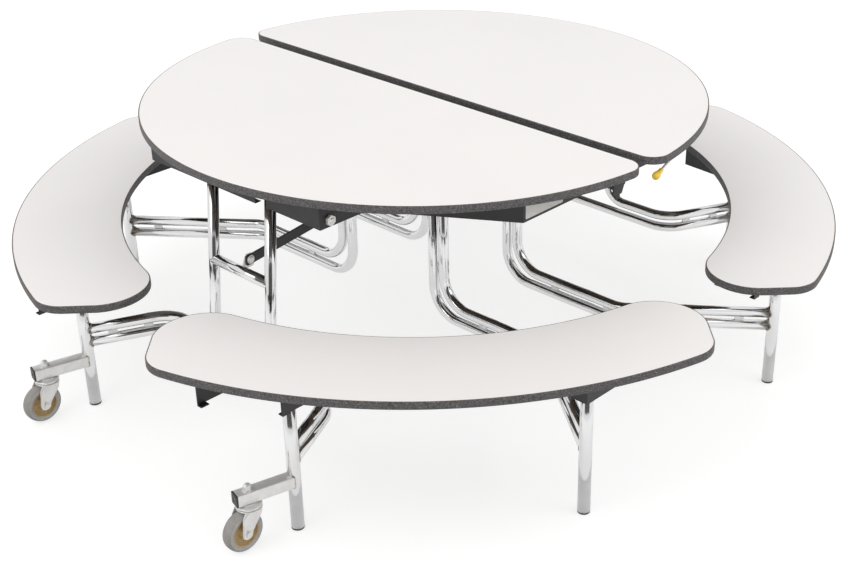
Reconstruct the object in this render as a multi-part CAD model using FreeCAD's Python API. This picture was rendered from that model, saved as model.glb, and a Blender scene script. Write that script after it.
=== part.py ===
import FreeCAD, Part
import math
import os

# Round folding table with four curved benches.
# Units are millimetres. The floor is z = 0 and the origin lies under the middle of the table.
# Everything is drawn in the fold frame: X runs along the split between the two halves, Y across it.
# The near half lies at Y < 0. The last step turns the fold frame by FOLD_TURN about Z.
V = FreeCAD.Vector
FOLD_TURN = -45.0

# Table top
TOP_RADIUS = 762.0
TOP_HEIGHT = 737.0
TOP_THICK = 20.0
SPLIT_GAP = 34.0
TOP_CORNER = 50.0
EDGING = 3.0
EDGING_CHAMFER = 1.5

# Benches
BENCH_HEIGHT = 444.0
BENCH_THICK = 20.0
BENCH_INNER_FACE = 836.0
BENCH_DEPTH = 281.0
BENCH_HALF_LENGTH = 643.0
BENCH_INNER_ARC = 888.0
BENCH_OUTER_ARC = 1183.0
BENCH_INNER_CORNER = 120.0
BENCH_OUTER_CORNER = 85.0

# Tubes
LEG_DIAMETER = 31.75
LEG_WALL = 1.6
LEG_TANGENTIAL = 350.0
LEG_RADIAL = 920.0
LEG_ABOVE_PIN = 17.0
GLIDE_HEIGHT = 6.0
RAIL_DIAMETER = 28.6
RAIL_WALL = 1.65
RAIL_PITCH = 38.0
TAB_LENGTH = 24.0
TAB_WIDTH = 8.0
OUTER_TAB_SHARES = (0.3, 0.7)
MIDDLE_TAB_SHARES = (0.22, 0.7)
MIDDLE_RUN_TAB_SHARES = (0.2, 0.85)

# Middle frame
MIDDLE_RAIL_Y = 150.0
MIDDLE_RAIL_LOW_Z = 177.0
MIDDLE_CORNER_X = 570.0
MIDDLE_RAIL_BEND = 60.0
MIDDLE_POST_X = 162.0
MIDDLE_POST_BEND = 85.0
MIDDLE_PLATE_DROP = 133.0
MIDDLE_PLATE_HEIGHT = 80.0
MIDDLE_BEAM = 40.0

# Outer frames with the casters
OUTER_LEG_SPREAD = 412.0
OUTER_CORNER_SPREAD = 310.0
OUTER_SHIFT = 24.0
OUTER_RAIL_Y = 686.0
OUTER_RAIL_LOW_Z = 188.0
OUTER_RAIL_BEND = 90.0
OUTER_POST_X = 110.0
OUTER_POST_BEND = 60.0
CROSS_TUBE_DROP = 233.0

# Pivots; the drops hang the fold pivots from the top and the bench pivots from the benches
FOLD_PIVOT_Y = 645.0
FOLD_PIVOT_DROP = 44.0
POST_ABOVE_PIVOT = 15.0
FOLD_SHAFT = 16.0
BENCH_PIVOT_DROP = 29.0
BENCH_PIN = 10.0
RUNNING_FIT = 0.05
SIDE_GAP = 0.3
NUT_HEIGHT = 8.0
NUT_WIDTH = 24.0
PIN_HEAD_HEIGHT = 6.0
PIN_HEAD_WIDTH = 17.0

# Bench channels, seen from the leg that each one sits over
CHANNEL_DEPTH = 62.0
CHANNEL_SHEET = 3.0
OUTER_CHANNEL_HALF = 88.0
OUTER_CHANNEL_FRONT = (158.0, 61.0)
OUTER_CHANNEL_BACK = (98.0, 208.0)
MIDDLE_CHANNEL_HALF = 61.0
MIDDLE_CHANNEL_FRONT = 78.0
MIDDLE_CHANNEL_BACK = 210.0
MIDDLE_CHANNEL_SLOT = 38.0
CHANNEL_FOOT = (15.0, 22.0)

# Pressed-steel underframe
APRON_DEPTH = 62.0
APRON_SHEET = 2.0
APRON_FLANGE = 18.0
HINGE_CHANNEL_HALF = 320.0
HINGE_CHANNEL_SIDES = (86.0, 30.0)
POST_SLOT_WIDTH = 42.0
POST_SLOT_HEIGHT = 37.0
SIDE_RAIL_X = 640.0
SIDE_RAIL_BEND_Y = 332.0
SIDE_RAIL_END_INSET = 31.0
SPLIT_BEAM_Y = (24.0, 75.0)
SPLIT_BEAM_HALF = 700.0
END_PLATE_SHEET = 4.0
PIVOT_EAR_OUT = 25.0
PIVOT_EAR_WIDTH = 50.0
PIVOT_EAR_SHEET = 5.0
HOOK_RISE = 16.0
HOOK_DROP = 14.0
HOOK_THROAT = 4.0
HOOK_BACK = 10.0
HOOK_TIP = 6.0

# Braces
BRACE_BOLT_INSET = 5.0
BRACE_BOLT_DROP = 207.0
BRACE_RISE = 7.0
BRACE_LENGTH = 560.0
BRACE_WIDTH = 26.0
BRACE_THICK = 5.0
BRACE_SLOT = 11.0
BRACE_TRAVEL = 66.0
BRACE_BOLT = 8.0
BRACE_SIDE_GAP = 1.0
BRACE_PIN_PLAY = 1.0
LUG_THICK = 5.0
LUG_LIFT = 4.0

# Caster arms and casters
ARM_SIZE = 31.75
ARM_WALL = 2.0
ARM_Z = 138.0
ARM_LENGTH = 146.0
ARM_ANGLE = 15.0
PLUG_CAP = 4.0
PLUG_INSERT = 14.0
SWIVEL_REACH = 116.0
KINGPIN = 12.0
WHEEL_DIAMETER = 101.6
WHEEL_WIDTH = 32.0
WHEEL_ABOVE_FLOOR = 2.0
HUB_DIAMETER = 72.0
HUB_WIDTH = 27.0
HUB_WEB = 9.0
HUB_BOSS = 24.0
HUB_RIM = 4.0
HUB_FILLET = 3.0
TYRE_LAP = 4.0
TYRE_WALL_INSET = 8.0
TYRE_SHOULDER = (3.5, 3.0)
TYRE_TREAD_INSET = 9.0
AXLE = 8.0
AXLE_HEAD = 4.0
WHEEL_TRAIL = 24.0
FORK_SHEET = 2.5
FORK_GAP = 2.5
FORK_DISC = 62.0
FORK_DISC_Z = 107.0
FORK_CUP = 52.0
FORK_DISC_SHEET = 3.0
FORK_RACE = 4.0
FORK_CHEEK_INSET = 6.0
FORK_CHEEK_BACK = 4.0
FORK_BELOW_AXLE = 13.0
FORK_AXLE_FRONT = 12.0
FORK_AXLE_BACK = 9.0
KINGPIN_HEAD = 18.0
KINGPIN_HEAD_HEIGHT = 4.0
DOME_SINK = 1.0

# Release rod
ROD = 7.0
ROD_Y = 139.0
ROD_DROP = 15.0
ROD_START_X = 560.0
ROD_BEND_X = 724.0
KNOB_X = 738.0
KNOB_Y = 62.0
KNOB_DROP = 15.0
ROD_BEND = 14.0
KNOB_LENGTH = 40.0
KNOB_DIAMETER = 20.0
KNOB_WALL = 2.0
KNOB_FLARE = 0.8
ROD_GUIDE_INSET = 25.0
ROD_GUIDE_WIDTH = 30.0
ROD_GUIDE_DROP = 12.0

# Places worked out from the sizes above
MIDDLE_RAIL_HIGH_Z = MIDDLE_RAIL_LOW_Z + RAIL_PITCH
OUTER_RAIL_HIGH_Z = OUTER_RAIL_LOW_Z + RAIL_PITCH
MIDDLE_HIGH_POST_X = MIDDLE_POST_X + RAIL_PITCH
BENCH_UNDER = BENCH_HEIGHT - BENCH_THICK
TOP_UNDER = TOP_HEIGHT - TOP_THICK
CHANNEL_LOW = BENCH_UNDER - CHANNEL_DEPTH
APRON_LOW = TOP_UNDER - APRON_DEPTH
FOLD_PIVOT_Z = TOP_UNDER - FOLD_PIVOT_DROP
BENCH_PIVOT_Z = BENCH_UNDER - BENCH_PIVOT_DROP
HINGE_CHANNEL_Y = (FOLD_PIVOT_Y - HINGE_CHANNEL_SIDES[0], FOLD_PIVOT_Y + HINGE_CHANNEL_SIDES[1])
SIDE_RAIL_END_Y = HINGE_CHANNEL_Y[0] - SIDE_RAIL_END_INSET
PIVOT_EAR_X = MIDDLE_HIGH_POST_X + PIVOT_EAR_OUT
MIDDLE_PLATE_Z = FOLD_PIVOT_Z - MIDDLE_PLATE_DROP
CROSS_TUBE_Z = FOLD_PIVOT_Z - CROSS_TUBE_DROP
BRACE_BOLT_Y = FOLD_PIVOT_Y - BRACE_BOLT_INSET
BRACE_BOLT_Z = FOLD_PIVOT_Z - BRACE_BOLT_DROP
LEG_TOP = BENCH_PIVOT_Z + LEG_ABOVE_PIN
MIDDLE_LEG_X = (LEG_RADIAL + LEG_TANGENTIAL) / math.sqrt(2.0)
MIDDLE_LEG_Y = (LEG_RADIAL - LEG_TANGENTIAL) / math.sqrt(2.0)
OUTER_CHANNEL_X = MIDDLE_LEG_Y
OUTER_LEG_Y = MIDDLE_LEG_X
OUTER_LEGS_X = (OUTER_SHIFT + OUTER_LEG_SPREAD, OUTER_SHIFT - OUTER_LEG_SPREAD)
OUTER_CORNERS_X = (OUTER_SHIFT + OUTER_CORNER_SPREAD, OUTER_SHIFT - OUTER_CORNER_SPREAD)
WHEEL_RADIUS = WHEEL_DIAMETER / 2.0
AXLE_Z = WHEEL_RADIUS + WHEEL_ABOVE_FLOOR
ARM_LOW = ARM_Z - ARM_SIZE / 2.0
ARM_HIGH = ARM_Z + ARM_SIZE / 2.0
ROD_Z = TOP_UNDER - ROD_DROP
ROD_GUIDE_X = ROD_START_X + ROD_GUIDE_INSET
KNOB_POINT = (KNOB_X, KNOB_Y, ROD_Z - KNOB_DROP)


def box(x0, x1, y0, y1, z0, z1):
    return Part.makeBox(x1 - x0, y1 - y0, z1 - z0, V(x0, y0, z0))


def rod_x(diameter, x0, x1, y, z):
    return Part.makeCylinder(diameter / 2.0, x1 - x0, V(x0, y, z), V(1, 0, 0))


def rod_z(diameter, x, y, z0, z1):
    return Part.makeCylinder(diameter / 2.0, z1 - z0, V(x, y, z0), V(0, 0, 1))


def prism(points, height):
    """Extrudes a closed outline of points by a vector."""
    wire = Part.makePolygon(points + [points[0]])
    return Part.Face(wire).extrude(height)


def hexagon_x(width, x0, x1, y, z):
    radius = width / math.sqrt(3.0)
    corners = []
    for step in range(6):
        angle = math.radians(60.0 * step)
        corners.append(V(x0, y + radius * math.cos(angle), z + radius * math.sin(angle)))
    return prism(corners, V(x1 - x0, 0, 0))


def turned(shape, angle, centre=V(0, 0, 0)):
    copy = shape.copy()
    copy.rotate(centre, V(0, 0, 1), angle)
    return copy


def mirrored(shape):
    """The same shape on the other side of the plane X = 0."""
    return shape.mirror(V(0, 0, 0), V(1, 0, 0))


def flipped(shapes):
    """The same shapes on the other side of the split."""
    return [shape.mirror(V(0, 0, 0), V(0, 1, 0)) for shape in shapes]


def both_sides(shapes):
    return list(shapes) + [mirrored(shape) for shape in shapes]


def half_turn(shapes):
    return [turned(shape, 180.0) for shape in shapes]


def all_corners(shapes):
    pair = both_sides(shapes)
    return pair + half_turn(pair)


# ---------------------------------------------------------------- boards

def vertical_edges(shape, wanted):
    found = []
    for edge in shape.Edges:
        first = edge.Vertexes[0].Point
        last = edge.Vertexes[-1].Point
        upright = abs(first.x - last.x) < 1e-6 and abs(first.y - last.y) < 1e-6
        if upright and abs(first.z - last.z) > 1.0 and wanted(first):
            found.append(edge)
    return found


def flat_outline_edges(shape, z):
    return [edge for edge in shape.Edges
            if abs(edge.BoundBox.ZMin - z) < 1e-6 and abs(edge.BoundBox.ZMax - z) < 1e-6]


def half_round_prism(inset):
    """Half of the round top, drawn in from its outline by inset."""
    disc = rod_z(2.0 * (TOP_RADIUS - inset), 0, 0, TOP_UNDER, TOP_HEIGHT)
    reach = TOP_RADIUS + 1.0
    split = -SPLIT_GAP / 2.0 - inset
    half = disc.common(box(-reach, reach, -reach, split, TOP_UNDER, TOP_HEIGHT))
    corners = vertical_edges(half, lambda p: abs(p.y - split) < 1e-3 and abs(p.x) > 1.0)
    return half.makeFillet(TOP_CORNER - inset, corners)


def bench_prism(inset):
    """A bench board on the -Y side, drawn in from its outline by inset."""
    outer_centre = BENCH_OUTER_ARC - BENCH_INNER_FACE - BENCH_DEPTH
    inner_centre = BENCH_INNER_ARC - BENCH_INNER_FACE
    outer = rod_z(2.0 * (BENCH_OUTER_ARC - inset), 0, outer_centre, BENCH_UNDER, BENCH_HEIGHT)
    inner = rod_z(2.0 * (BENCH_INNER_ARC + inset), 0, inner_centre, BENCH_UNDER, BENCH_HEIGHT)
    half = BENCH_HALF_LENGTH - inset
    strip = box(-half, half, -BENCH_OUTER_ARC, 0, BENCH_UNDER, BENCH_HEIGHT)
    board = outer.cut(inner).common(strip)
    middle = -(BENCH_INNER_FACE + BENCH_DEPTH / 2.0) * math.cos(math.asin(half / BENCH_OUTER_ARC))
    inner_corners = vertical_edges(board, lambda p: abs(abs(p.x) - half) < 1e-3 and p.y > middle)
    board = board.makeFillet(BENCH_INNER_CORNER - inset, inner_corners)
    outer_corners = vertical_edges(board, lambda p: abs(p.y + outer_corner_y(half, inset)) < 1e-3)
    return board.makeFillet(BENCH_OUTER_CORNER - inset, outer_corners)


def outer_corner_y(half, inset):
    outer_centre = BENCH_OUTER_ARC - BENCH_INNER_FACE - BENCH_DEPTH
    return math.sqrt((BENCH_OUTER_ARC - inset) ** 2 - half ** 2) - outer_centre


def board_and_edging(outline, low, high):
    """The board, and the chamfered band that runs round it."""
    board = outline(EDGING)
    body = outline(0.0)
    rims = flat_outline_edges(body, low) + flat_outline_edges(body, high)
    band = body.makeChamfer(EDGING_CHAMFER, rims).cut(board)
    return board, band


# ---------------------------------------------------------------- tubes

def bent_wire(points, bends):
    """Straight runs joined by tangent arcs, one bend radius for each inner point."""
    edges = []
    start = points[0]
    for index, radius in enumerate(bends):
        corner = points[index + 1]
        before = (corner - points[index]).normalize()
        after = (points[index + 2] - corner).normalize()
        turn = before.getAngle(after)
        setback = radius * math.tan(turn / 2.0)
        arc_start = corner - before * setback
        arc_end = corner + after * setback
        inward = (after - before).normalize()
        reach = radius * (1.0 / math.cos(turn / 2.0) - 1.0)
        edges.append(Part.LineSegment(start, arc_start).toShape())
        edges.append(Part.Arc(arc_start, corner + inward * reach, arc_end).toShape())
        start = arc_end
    edges.append(Part.LineSegment(start, points[-1]).toShape())
    return Part.Wire(edges)


def swept_rod(points, bends, diameter):
    path = bent_wire(points, bends)
    direction = (points[1] - points[0]).normalize()
    ring = Part.Wire(Part.makeCircle(diameter / 2.0, points[0], direction))
    return path.makePipeShell([ring], True, False)


def bent_tube(points, bends):
    outer = swept_rod(points, bends, RAIL_DIAMETER)
    inner = swept_rod(points, bends, RAIL_DIAMETER - 2.0 * RAIL_WALL)
    return outer.cut(inner)


def leg_envelope(x, y):
    return rod_z(LEG_DIAMETER, x, y, 0.0, LEG_TOP)


def leg(x, y):
    tube = rod_z(LEG_DIAMETER, x, y, GLIDE_HEIGHT, LEG_TOP)
    tube = tube.cut(rod_z(LEG_DIAMETER - 2.0 * LEG_WALL, x, y, GLIDE_HEIGHT, LEG_TOP))
    reach = LEG_DIAMETER
    hole = rod_x(BENCH_PIN + 2.0 * RUNNING_FIT, x - reach, x + reach, y, BENCH_PIVOT_Z)
    return tube.cut(hole)


def glide(x, y):
    """The foot of a leg: a rounded pad with a stem pressed into the tube."""
    pad = rod_z(LEG_DIAMETER, x, y, 0.0, GLIDE_HEIGHT)
    pad = pad.makeFillet(GLIDE_HEIGHT / 3.0, flat_outline_edges(pad, 0.0))
    stem = rod_z(LEG_DIAMETER - 2.0 * LEG_WALL, x, y, GLIDE_HEIGHT, 3.0 * GLIDE_HEIGHT)
    return pad.fuse(stem).removeSplitter()


def weld_tab(centre, along, rails):
    """A small tab between two parallel rails, shaped to both."""
    room = RAIL_PITCH - RAIL_DIAMETER + TAB_WIDTH / 2.0
    tab = box(-TAB_LENGTH / 2.0, TAB_LENGTH / 2.0, -TAB_WIDTH / 2.0, TAB_WIDTH / 2.0,
              -room / 2.0, room / 2.0)
    tab.rotate(V(0, 0, 0), V(0, 0, 1), along)
    tab.translate(centre)
    for rail in rails:
        tab = tab.cut(rail)
    return tab


def slanted_tabs(leg_place, corner, rails, shares):
    """Weld tabs between the rails that run from a leg to a corner, at shares of that run."""
    run = corner - leg_place
    angle = math.degrees(math.atan2(run.y, run.x))
    lift = V(0, 0, RAIL_PITCH / 2.0)
    return [weld_tab(leg_place + run * share + lift, angle, rails) for share in shares]


# ---------------------------------------------------------------- outer frame, near half

def outer_post_direction():
    rise = FOLD_PIVOT_Z - OUTER_RAIL_HIGH_Z
    return V(0, OUTER_RAIL_Y - FOLD_PIVOT_Y, rise) * (1.0 / rise)


def outer_low_points():
    z = OUTER_RAIL_LOW_Z
    legs = [V(x, -OUTER_LEG_Y, z) for x in OUTER_LEGS_X]
    corners = [V(x, -OUTER_RAIL_Y, z) for x in OUTER_CORNERS_X]
    return [legs[0], corners[0], corners[1], legs[1]]


def outer_high_points(index):
    """The path of the tube from a leg to the outer hinge; index 0 is the +X side."""
    z = OUTER_RAIL_HIGH_Z
    post_x = OUTER_POST_X if index == 0 else -OUTER_POST_X
    foot = V(post_x, -OUTER_RAIL_Y, z)
    top = foot + outer_post_direction() * (FOLD_PIVOT_Z - z + POST_ABOVE_PIVOT)
    return [V(OUTER_LEGS_X[index], -OUTER_LEG_Y, z), V(OUTER_CORNERS_X[index], -OUTER_RAIL_Y, z),
            foot, top]


def outer_low_rail():
    rail = bent_tube(outer_low_points(), [OUTER_RAIL_BEND, OUTER_RAIL_BEND])
    for leg_x in OUTER_LEGS_X:
        rail = rail.cut(leg_envelope(leg_x, -OUTER_LEG_Y))
    return rail


def outer_post(index):
    post = bent_tube(outer_high_points(index), [OUTER_RAIL_BEND, OUTER_POST_BEND])
    post = post.cut(leg_envelope(OUTER_LEGS_X[index], -OUTER_LEG_Y))
    reach = OUTER_POST_X + RAIL_DIAMETER
    shaft = rod_x(FOLD_SHAFT + 2.0 * RUNNING_FIT, -reach, reach, -FOLD_PIVOT_Y, FOLD_PIVOT_Z)
    return post.cut(shaft)


def cross_tube_place():
    rise = outer_post_direction() * (CROSS_TUBE_Z - OUTER_RAIL_HIGH_Z)
    return V(0, -OUTER_RAIL_Y, OUTER_RAIL_HIGH_Z) + rise


def outer_cross_tube():
    place = cross_tube_place()
    tube = rod_x(RAIL_DIAMETER, -OUTER_POST_X, OUTER_POST_X, place.y, place.z)
    tube = tube.cut(rod_x(RAIL_DIAMETER - 2.0 * RAIL_WALL, -OUTER_POST_X, OUTER_POST_X,
                          place.y, place.z))
    for side in (1, -1):
        base = V(side * OUTER_POST_X, -OUTER_RAIL_Y, OUTER_RAIL_HIGH_Z)
        post = Part.makeCylinder(RAIL_DIAMETER / 2.0, FOLD_PIVOT_Z - base.z, base,
                                 outer_post_direction())
        tube = tube.cut(post)
    return tube


def brace_lug():
    """The plate on the cross tube that carries the brace bolt."""
    place = cross_tube_place()
    half = BRACE_WIDTH / 2.0
    outline = [V(-LUG_THICK, place.y, place.z), V(-LUG_THICK, -BRACE_BOLT_Y + half, place.z + LUG_LIFT),
               V(-LUG_THICK, -BRACE_BOLT_Y + half, BRACE_BOLT_Z + half),
               V(-LUG_THICK, -BRACE_BOLT_Y - half, BRACE_BOLT_Z + half)]
    plate = prism(outline, V(LUG_THICK, 0, 0))
    tube = rod_x(RAIL_DIAMETER, -OUTER_POST_X, OUTER_POST_X, place.y, place.z)
    hole = rod_x(BRACE_BOLT, -2.0 * LUG_THICK, LUG_THICK, -BRACE_BOLT_Y, BRACE_BOLT_Z)
    return plate.cut(tube).cut(hole)


def caster_arm_place(leg_x):
    """Turns a shape drawn along -Y from the origin into the caster arm of that leg."""
    def place(shape):
        copy = turned(shape, -ARM_ANGLE)
        copy.translate(V(leg_x, -OUTER_LEG_Y, 0))
        return copy
    return place


def swivel_point(leg_x):
    angle = math.radians(ARM_ANGLE)
    return V(leg_x - SWIVEL_REACH * math.sin(angle), -OUTER_LEG_Y - SWIVEL_REACH * math.cos(angle), 0)


def caster_arm(leg_x):
    half = ARM_SIZE / 2.0
    hollow = half - ARM_WALL
    arm = box(-half, half, -ARM_LENGTH, 0, ARM_LOW, ARM_HIGH)
    arm = arm.cut(box(-hollow, hollow, -ARM_LENGTH, 0, ARM_LOW + ARM_WALL, ARM_HIGH - ARM_WALL))
    arm = arm.cut(rod_z(KINGPIN + 2.0 * RUNNING_FIT, 0, -SWIVEL_REACH, ARM_LOW, ARM_HIGH))
    return caster_arm_place(leg_x)(arm).cut(leg_envelope(leg_x, -OUTER_LEG_Y))


def arm_plug(leg_x):
    half = ARM_SIZE / 2.0
    insert = half - ARM_WALL
    cap = box(-half, half, -ARM_LENGTH - PLUG_CAP, -ARM_LENGTH, ARM_LOW, ARM_HIGH)
    stem = box(-insert, insert, -ARM_LENGTH, -ARM_LENGTH + PLUG_INSERT, ARM_LOW + ARM_WALL,
               ARM_HIGH - ARM_WALL)
    return caster_arm_place(leg_x)(cap.fuse(stem).removeSplitter())


def kingpin(leg_x):
    """The swivel bolt of a caster, with its domed nut on top of the arm."""
    at = swivel_point(leg_x)
    head = rod_z(KINGPIN_HEAD, at.x, at.y, FORK_DISC_Z - KINGPIN_HEAD_HEIGHT,
                 FORK_DISC_Z - SIDE_GAP)
    nut_top = ARM_HIGH + NUT_HEIGHT
    bolt = rod_z(KINGPIN, at.x, at.y, FORK_DISC_Z - SIDE_GAP, nut_top)
    dome = Part.makeSphere(0.75 * KINGPIN, V(at.x, at.y, nut_top - DOME_SINK), V(0, 0, 1), 0,
                           90, 360)
    corners = []
    for step in range(6):
        angle = math.radians(60.0 * step)
        corners.append(V(at.x + KINGPIN * math.cos(angle), at.y + KINGPIN * math.sin(angle),
                         ARM_HIGH))
    nut = prism(corners, V(0, 0, NUT_HEIGHT))
    return head.fuse(bolt).fuse(nut).fuse(dome).removeSplitter()


def outer_glide(leg_x):
    return glide(leg_x, -OUTER_LEG_Y)


def pivot_pin(x, y, half_width, diameter, head_width, head_height):
    """A bolt along X with a head and a nut, which clear the plates by the side gap."""
    reach = half_width + SIDE_GAP
    pin = rod_x(diameter, x - reach, x + reach, y, BENCH_PIVOT_Z)
    head = hexagon_x(head_width, x + reach, x + reach + head_height, y, BENCH_PIVOT_Z)
    nut = hexagon_x(head_width, x - reach - head_height, x - reach, y, BENCH_PIVOT_Z)
    return pin.fuse(head).fuse(nut).removeSplitter()


def bench_pin(x, y, half_width):
    return pivot_pin(x, y, half_width, BENCH_PIN, PIN_HEAD_WIDTH, PIN_HEAD_HEIGHT)


def brace_bolt():
    """The bolt of the brace, with a round head on the side of the bar."""
    outside = BRACE_SIDE_GAP + BRACE_THICK + SIDE_GAP
    shank = rod_x(BRACE_BOLT, -LUG_THICK, outside, -BRACE_BOLT_Y, BRACE_BOLT_Z)
    head = rod_x(2.4 * BRACE_BOLT, outside, outside + PIN_HEAD_HEIGHT, -BRACE_BOLT_Y, BRACE_BOLT_Z)
    head = head.makeFillet(0.6 * PIN_HEAD_HEIGHT, [edge for edge in head.Edges
                                                  if edge.BoundBox.XMin > outside + 1.0])
    nut = hexagon_x(1.7 * BRACE_BOLT, -LUG_THICK - PIN_HEAD_HEIGHT, -LUG_THICK,
                    -BRACE_BOLT_Y, BRACE_BOLT_Z)
    return shank.fuse(head).fuse(nut).removeSplitter()


def outer_tabs():
    bends = [OUTER_RAIL_BEND, OUTER_RAIL_BEND]
    low = swept_rod(outer_low_points(), bends, RAIL_DIAMETER)
    tabs = []
    for index, leg_x in enumerate(OUTER_LEGS_X):
        high = swept_rod(outer_high_points(index), [OUTER_RAIL_BEND, OUTER_POST_BEND],
                         RAIL_DIAMETER)
        leg_place = V(leg_x, -OUTER_LEG_Y, OUTER_RAIL_LOW_Z)
        corner = V(OUTER_CORNERS_X[index], -OUTER_RAIL_Y, OUTER_RAIL_LOW_Z)
        tabs.extend(slanted_tabs(leg_place, corner, [low, high], OUTER_TAB_SHARES))
    return tabs


def outer_frame_parts():
    pins = both_sides([bench_pin(OUTER_CHANNEL_X, -OUTER_LEG_Y, OUTER_CHANNEL_HALF)])
    return {
        "low_rail": [outer_low_rail()],
        "post_frame": [outer_post(0), outer_post(1), outer_cross_tube(), brace_lug()],
        "legs": [leg(x, -OUTER_LEG_Y) for x in OUTER_LEGS_X],
        "rail_tabs": outer_tabs(),
        "caster_arms": [caster_arm(x) for x in OUTER_LEGS_X],
        "end_caps": [cap(x) for x in OUTER_LEGS_X for cap in (outer_glide, arm_plug)],
        "pins_and_bolts": [kingpin(x) for x in OUTER_LEGS_X] + pins + [brace_bolt()],
    }


# ---------------------------------------------------------------- middle frame

def middle_corner(rail_z):
    """Where the slanted run of a rail meets its run parallel to the split."""
    return V(MIDDLE_CORNER_X, -MIDDLE_RAIL_Y, rail_z)


def middle_points(rail_z, post_x):
    return [V(MIDDLE_LEG_X, -MIDDLE_LEG_Y, rail_z), middle_corner(rail_z),
            V(post_x, -MIDDLE_RAIL_Y, rail_z),
            V(post_x, -MIDDLE_RAIL_Y, FOLD_PIVOT_Z + POST_ABOVE_PIVOT)]


def middle_tube(rail_z, post_x):
    tube = bent_tube(middle_points(rail_z, post_x), [MIDDLE_RAIL_BEND, MIDDLE_POST_BEND])
    tube = tube.cut(leg_envelope(MIDDLE_LEG_X, -MIDDLE_LEG_Y))
    reach = post_x + RAIL_DIAMETER
    shaft = rod_x(FOLD_SHAFT + 2.0 * RUNNING_FIT, 0, reach, -MIDDLE_RAIL_Y, FOLD_PIVOT_Z)
    return tube.cut(shaft)


def middle_plate():
    """The plate between the twin posts of one side, from the near half to the far half."""
    inner = MIDDLE_POST_X + RAIL_DIAMETER / 2.0
    reach = MIDDLE_RAIL_Y + RAIL_DIAMETER / 2.0
    return box(inner, inner + RAIL_PITCH - RAIL_DIAMETER, -reach, reach, MIDDLE_PLATE_Z,
               MIDDLE_PLATE_Z + MIDDLE_PLATE_HEIGHT)


def middle_beam():
    half = MIDDLE_BEAM / 2.0
    inner = MIDDLE_POST_X + RAIL_DIAMETER / 2.0
    low = MIDDLE_PLATE_Z + (MIDDLE_PLATE_HEIGHT - MIDDLE_BEAM) / 2.0
    beam = box(-inner, inner, -half, half, low, low + MIDDLE_BEAM)
    hollow = half - ARM_WALL
    return beam.cut(box(-inner, inner, -hollow, hollow, low + ARM_WALL, low + MIDDLE_BEAM - ARM_WALL))


def brace_bracket():
    """The plate that the near brace bears on, welded to the beam."""
    half = MIDDLE_BEAM / 2.0
    low = MIDDLE_PLATE_Z + (MIDDLE_PLATE_HEIGHT - MIDDLE_BEAM) / 2.0
    pin_z = BRACE_BOLT_Z + (BRACE_BOLT_Y - MIDDLE_RAIL_Y) * math.tan(math.radians(BRACE_RISE))
    side = BRACE_WIDTH / 2.0
    outline = [V(0, -half, low + MIDDLE_BEAM), V(0, -half, low),
               V(0, -MIDDLE_RAIL_Y + side, pin_z - side), V(0, -MIDDLE_RAIL_Y - side, pin_z - side),
               V(0, -MIDDLE_RAIL_Y - side, pin_z + side), V(0, -MIDDLE_RAIL_Y + side, low + half)]
    plate = prism(outline, V(-LUG_THICK, 0, 0))
    hole = rod_x(BRACE_SLOT - BRACE_PIN_PLAY, -2.0 * LUG_THICK, LUG_THICK, -MIDDLE_RAIL_Y, pin_z)
    return plate.cut(hole)


def middle_tabs():
    bends = [MIDDLE_RAIL_BEND, MIDDLE_POST_BEND]
    low = swept_rod(middle_points(MIDDLE_RAIL_LOW_Z, MIDDLE_POST_X), bends, RAIL_DIAMETER)
    high = swept_rod(middle_points(MIDDLE_RAIL_HIGH_Z, MIDDLE_HIGH_POST_X), bends, RAIL_DIAMETER)
    rails = [low, high]
    leg_place = V(MIDDLE_LEG_X, -MIDDLE_LEG_Y, MIDDLE_RAIL_LOW_Z)
    corner = middle_corner(MIDDLE_RAIL_LOW_Z)
    bend_start = V(MIDDLE_HIGH_POST_X + MIDDLE_POST_BEND, corner.y, corner.z)
    return (slanted_tabs(leg_place, corner, rails, MIDDLE_TAB_SHARES)
            + slanted_tabs(bend_start, corner, rails, MIDDLE_RUN_TAB_SHARES))


def middle_frame_parts():
    bracket = [brace_bracket()]
    pin = bench_pin(MIDDLE_LEG_X, -MIDDLE_LEG_Y, MIDDLE_CHANNEL_HALF)
    return {
        "legs": all_corners([leg(MIDDLE_LEG_X, -MIDDLE_LEG_Y)]),
        "low_tubes": all_corners([middle_tube(MIDDLE_RAIL_LOW_Z, MIDDLE_POST_X)]),
        "high_tubes": all_corners([middle_tube(MIDDLE_RAIL_HIGH_Z, MIDDLE_HIGH_POST_X)]),
        "rail_tabs": all_corners(middle_tabs()),
        "beam": both_sides([middle_plate()]) + [middle_beam()] + bracket + flipped(bracket),
        "glides": all_corners([glide(MIDDLE_LEG_X, -MIDDLE_LEG_Y)]),
        "bench_pins": all_corners([pin]),
    }


# ---------------------------------------------------------------- bench channels

def channel(outline, inner, low):
    """An open-bottomed channel: outline and inner are the plan corners of skin and hollow."""
    skin = prism([V(x, y, low) for x, y in outline], V(0, 0, CHANNEL_DEPTH))
    hollow = prism([V(x, y, low) for x, y in inner], V(0, 0, CHANNEL_DEPTH - CHANNEL_SHEET))
    return skin.cut(hollow)


def channel_foot(x, y, inward):
    """A small foot turned in at the open end of a channel's side, below its lower edge."""
    wide, long = CHANNEL_FOOT
    x0, x1 = sorted((x, x + inward * wide))
    y0, y1 = sorted((y[0], y[0] + y[1] * long))
    return box(x0, x1, y0, y1, CHANNEL_LOW - CHANNEL_SHEET, CHANNEL_LOW)


def pin_hole(shape):
    reach = 2.0 * OUTER_CHANNEL_HALF
    return shape.cut(rod_x(BENCH_PIN + 2.0 * RUNNING_FIT, -reach, reach, 0, BENCH_PIVOT_Z))


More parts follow.
